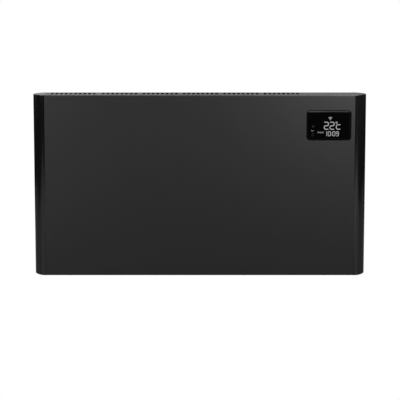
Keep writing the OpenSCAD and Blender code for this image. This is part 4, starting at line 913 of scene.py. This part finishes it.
def lit(name, colour, strength):
    """A segment that glows evenly, with the faint grain of its diffuser, and is dark when off."""
    material = finish(name, grain, colour, roughness=0.4, size=0.0004, contrast=0.1)
    tree = material.node_tree
    surface = tree.nodes["Principled BSDF"]
    base_link = surface.inputs["Base Color"].links[0]
    tree.links.new(base_link.from_socket, surface.inputs["Emission Color"])
    tree.links.remove(base_link)
    surface.inputs["Base Color"].default_value = (0.01, 0.01, 0.01, 1)
    surface.inputs["Emission Strength"].default_value = strength
    return material


millimetre = 0.001
mark_relief = 0.05
bright = lit("lit_segments", colour=(0.51, 0.505, 0.53), strength=0.74)
digit_low = -8.1
digit_width = 8.6
digit_height = 15.0
digit_round = 2.8
digit_stroke = 1.8
digit_lefts = (-9.8, 2.2)
digits = [rounded_path(two(left, digit_low, digit_width, digit_height), digit_round)
          for left in digit_lefts]
letter_ends = ((24.1, 1.6), (15.5, 1.6), (15.5, -7.9), (24.1, -7.9))
letter_round = 3.2
letter = rounded_path(letter_ends, letter_round)
degrees = draw_marks("temperature_digits", digits + [letter], digit_stroke)
degree_sign = rounded_path(zero(left=14.5, low=4.6, width=3.0, height=3.0), radius=1.4)
ring = draw_marks("degree_ring", [degree_sign], stroke=1.15)

clock_low = -22.1
clock_width = 5.0
clock_height = 9.0
clock_top = clock_low + clock_height
clock_middle = clock_low + clock_height / 2
clock_round = 1.5
clock_stroke = 1.3
one_x = -4.7
one_reach = 0.6
one = [(one_x, clock_low - one_reach), (one_x, clock_top + one_reach)]
zero_lefts = (-1.6, 8.0)
zeros = [rounded_path(zero(left, clock_low, clock_width, clock_height), clock_round)
         for left in zero_lefts]
colon_x = 5.7
dot_lows = (clock_low + 1.6, clock_low + 6.0)
dot_height = 1.2
colon = [[(colon_x, low), (colon_x, low + dot_height)] for low in dot_lows]
nine_left = 15.4
nine_right = 20.3
nine_end = nine_right - 0.2
nine_ends = ((nine_left, clock_low), (nine_right, clock_low), (nine_right, clock_top),
             (nine_left, clock_top), (nine_left, clock_middle), (nine_end, clock_middle))
nine = rounded_path(nine_ends, clock_round)
clock = draw_marks("clock_digits", [one, nine] + zeros + colon, clock_stroke)


def fan_arc(radius, steps=8):
    """An arc of the fan, centred above its lower point."""
    angles = [fan_spread * i / steps for i in range(-steps, steps + 1)]
    return [(fan_x + radius * math.sin(a), fan_low + radius * math.cos(a)) for a in angles]


fan_x = 2.8
fan_low = 11.6
fan_spread = math.radians(42)
fan = draw_marks("fan_arcs", [fan_arc(2.1), fan_arc(4.0), fan_arc(5.9)], stroke=1.0)
foot = [(fan_x, fan_low - 0.2), (fan_x, fan_low + 0.8)]
fan_foot = draw_marks("fan_foot", [foot], stroke=1.1)
lit_marks = joined([degrees, ring, clock, fan, fan_foot])
lit_marks.name = "lit_marks"
ready(lit_marks, "heater", "display_lens", bright)

dim = lit("dim_segments", colour=(0.38, 0.38, 0.385), strength=1.0)
field_low = -16.2
field_top = -13.4
field_x = (-23.2, -21.2, -18.6, -16.6, -14.0, -12.0)
field = [[(x, field_low), (x, field_top)] for x in field_x]
day = draw_marks("day_field", field, stroke=0.9)
wedge_ends = [(-37.0, -10.2), (-34.9, -12.3), (-32.8, -10.2)]
wedge = draw_marks("wedge", [wedge_ends], stroke=0.9)
dim_marks = joined([day, wedge])
dim_marks.name = "dim_marks"
ready(dim_marks, "heater", "display_lens", dim)

faint = lit("unlit_segments", colour=(0.014, 0.014, 0.0145), strength=1.0)
key_circle = rounded_path(zero(left=-35.0, low=-3.9, width=3.2, height=3.2), radius=1.5)
key_ring = draw_marks("key_ring", [key_circle], stroke=1.0)
bar_length = 5.8
bar_lefts = ((-36.7, -17.6), (-37.0, -21.9))
bars = [[(left, z), (left + bar_length, z)] for left, z in bar_lefts]
key_bars = draw_marks("key_bars", bars, stroke=1.1)
unlit_marks = joined([key_ring, key_bars])
unlit_marks.name = "unlit_marks"
ready(unlit_marks, "heater", "display_lens", faint)

# Display unit
# Behind the lens: the touch foil, the display module on its board, the radio in its tinned can and
# the moulded carrier that four screws pull against the cover's studs.
amber_foil = finish("amber_foil", grain, colour=(0.5, 0.3, 0.07), roughness=0.25, size=0.003,
                    contrast=0.12)
light_box = finish("light_box", grain, colour=(0.06, 0.07, 0.08), roughness=0.3, size=0.001,
                   contrast=0.15, relief=1e-5)
carrier = finish("carrier_moulding", grain, colour=(0.06, 0.06, 0.065), roughness=0.55, size=0.0006,
                 contrast=0.2, relief=3e-5)
tinned = finish("tinned_can", drawn, colour=(0.66, 0.66, 0.67), roughness=0.2, size=0.0006,
                contrast=0.2, relief=5e-6, Metallic=1.0)
dress(amber_foil, "touch_foil")
dress(light_box, "display_module")
dress(carrier, "display_carrier")
dress(tinned, "radio_module")

# Mains switch
# A black rocker in a housing that snaps into the base panel under the control bay. The rocker has
# a satin face and tips about the pins at its sides.
switch_moulding = finish("switch_moulding", grain, colour=(0.022, 0.022, 0.023), roughness=0.42,
                         size=0.0005, contrast=0.2, relief=2e-5)
satin_black = finish("satin_rocker", grain, colour=(0.02, 0.02, 0.021), roughness=0.3, size=0.0005,
                     contrast=0.15, relief=1e-5)
softened("switch_housing", "heater", "switch_plastic", switch_moulding, width=0.0003)
softened("switch_rocker", "rocker", "rocker_plastic", satin_black, width=0.00025)

# Cord gland
# A moulded nylon nozzle for the mains cord, which the photograph doesn't show. Its flange lies
# under the base panel and a nut holds it from inside.
gland_nylon = finish("black_nylon", grain, colour=(0.02, 0.02, 0.021), roughness=0.45, size=0.0006,
                     contrast=0.2, relief=2e-5)
softened("cord_gland", "heater", "gland_plastic", gland_nylon, width=0.0004)
dress(gland_nylon, "gland_nut")
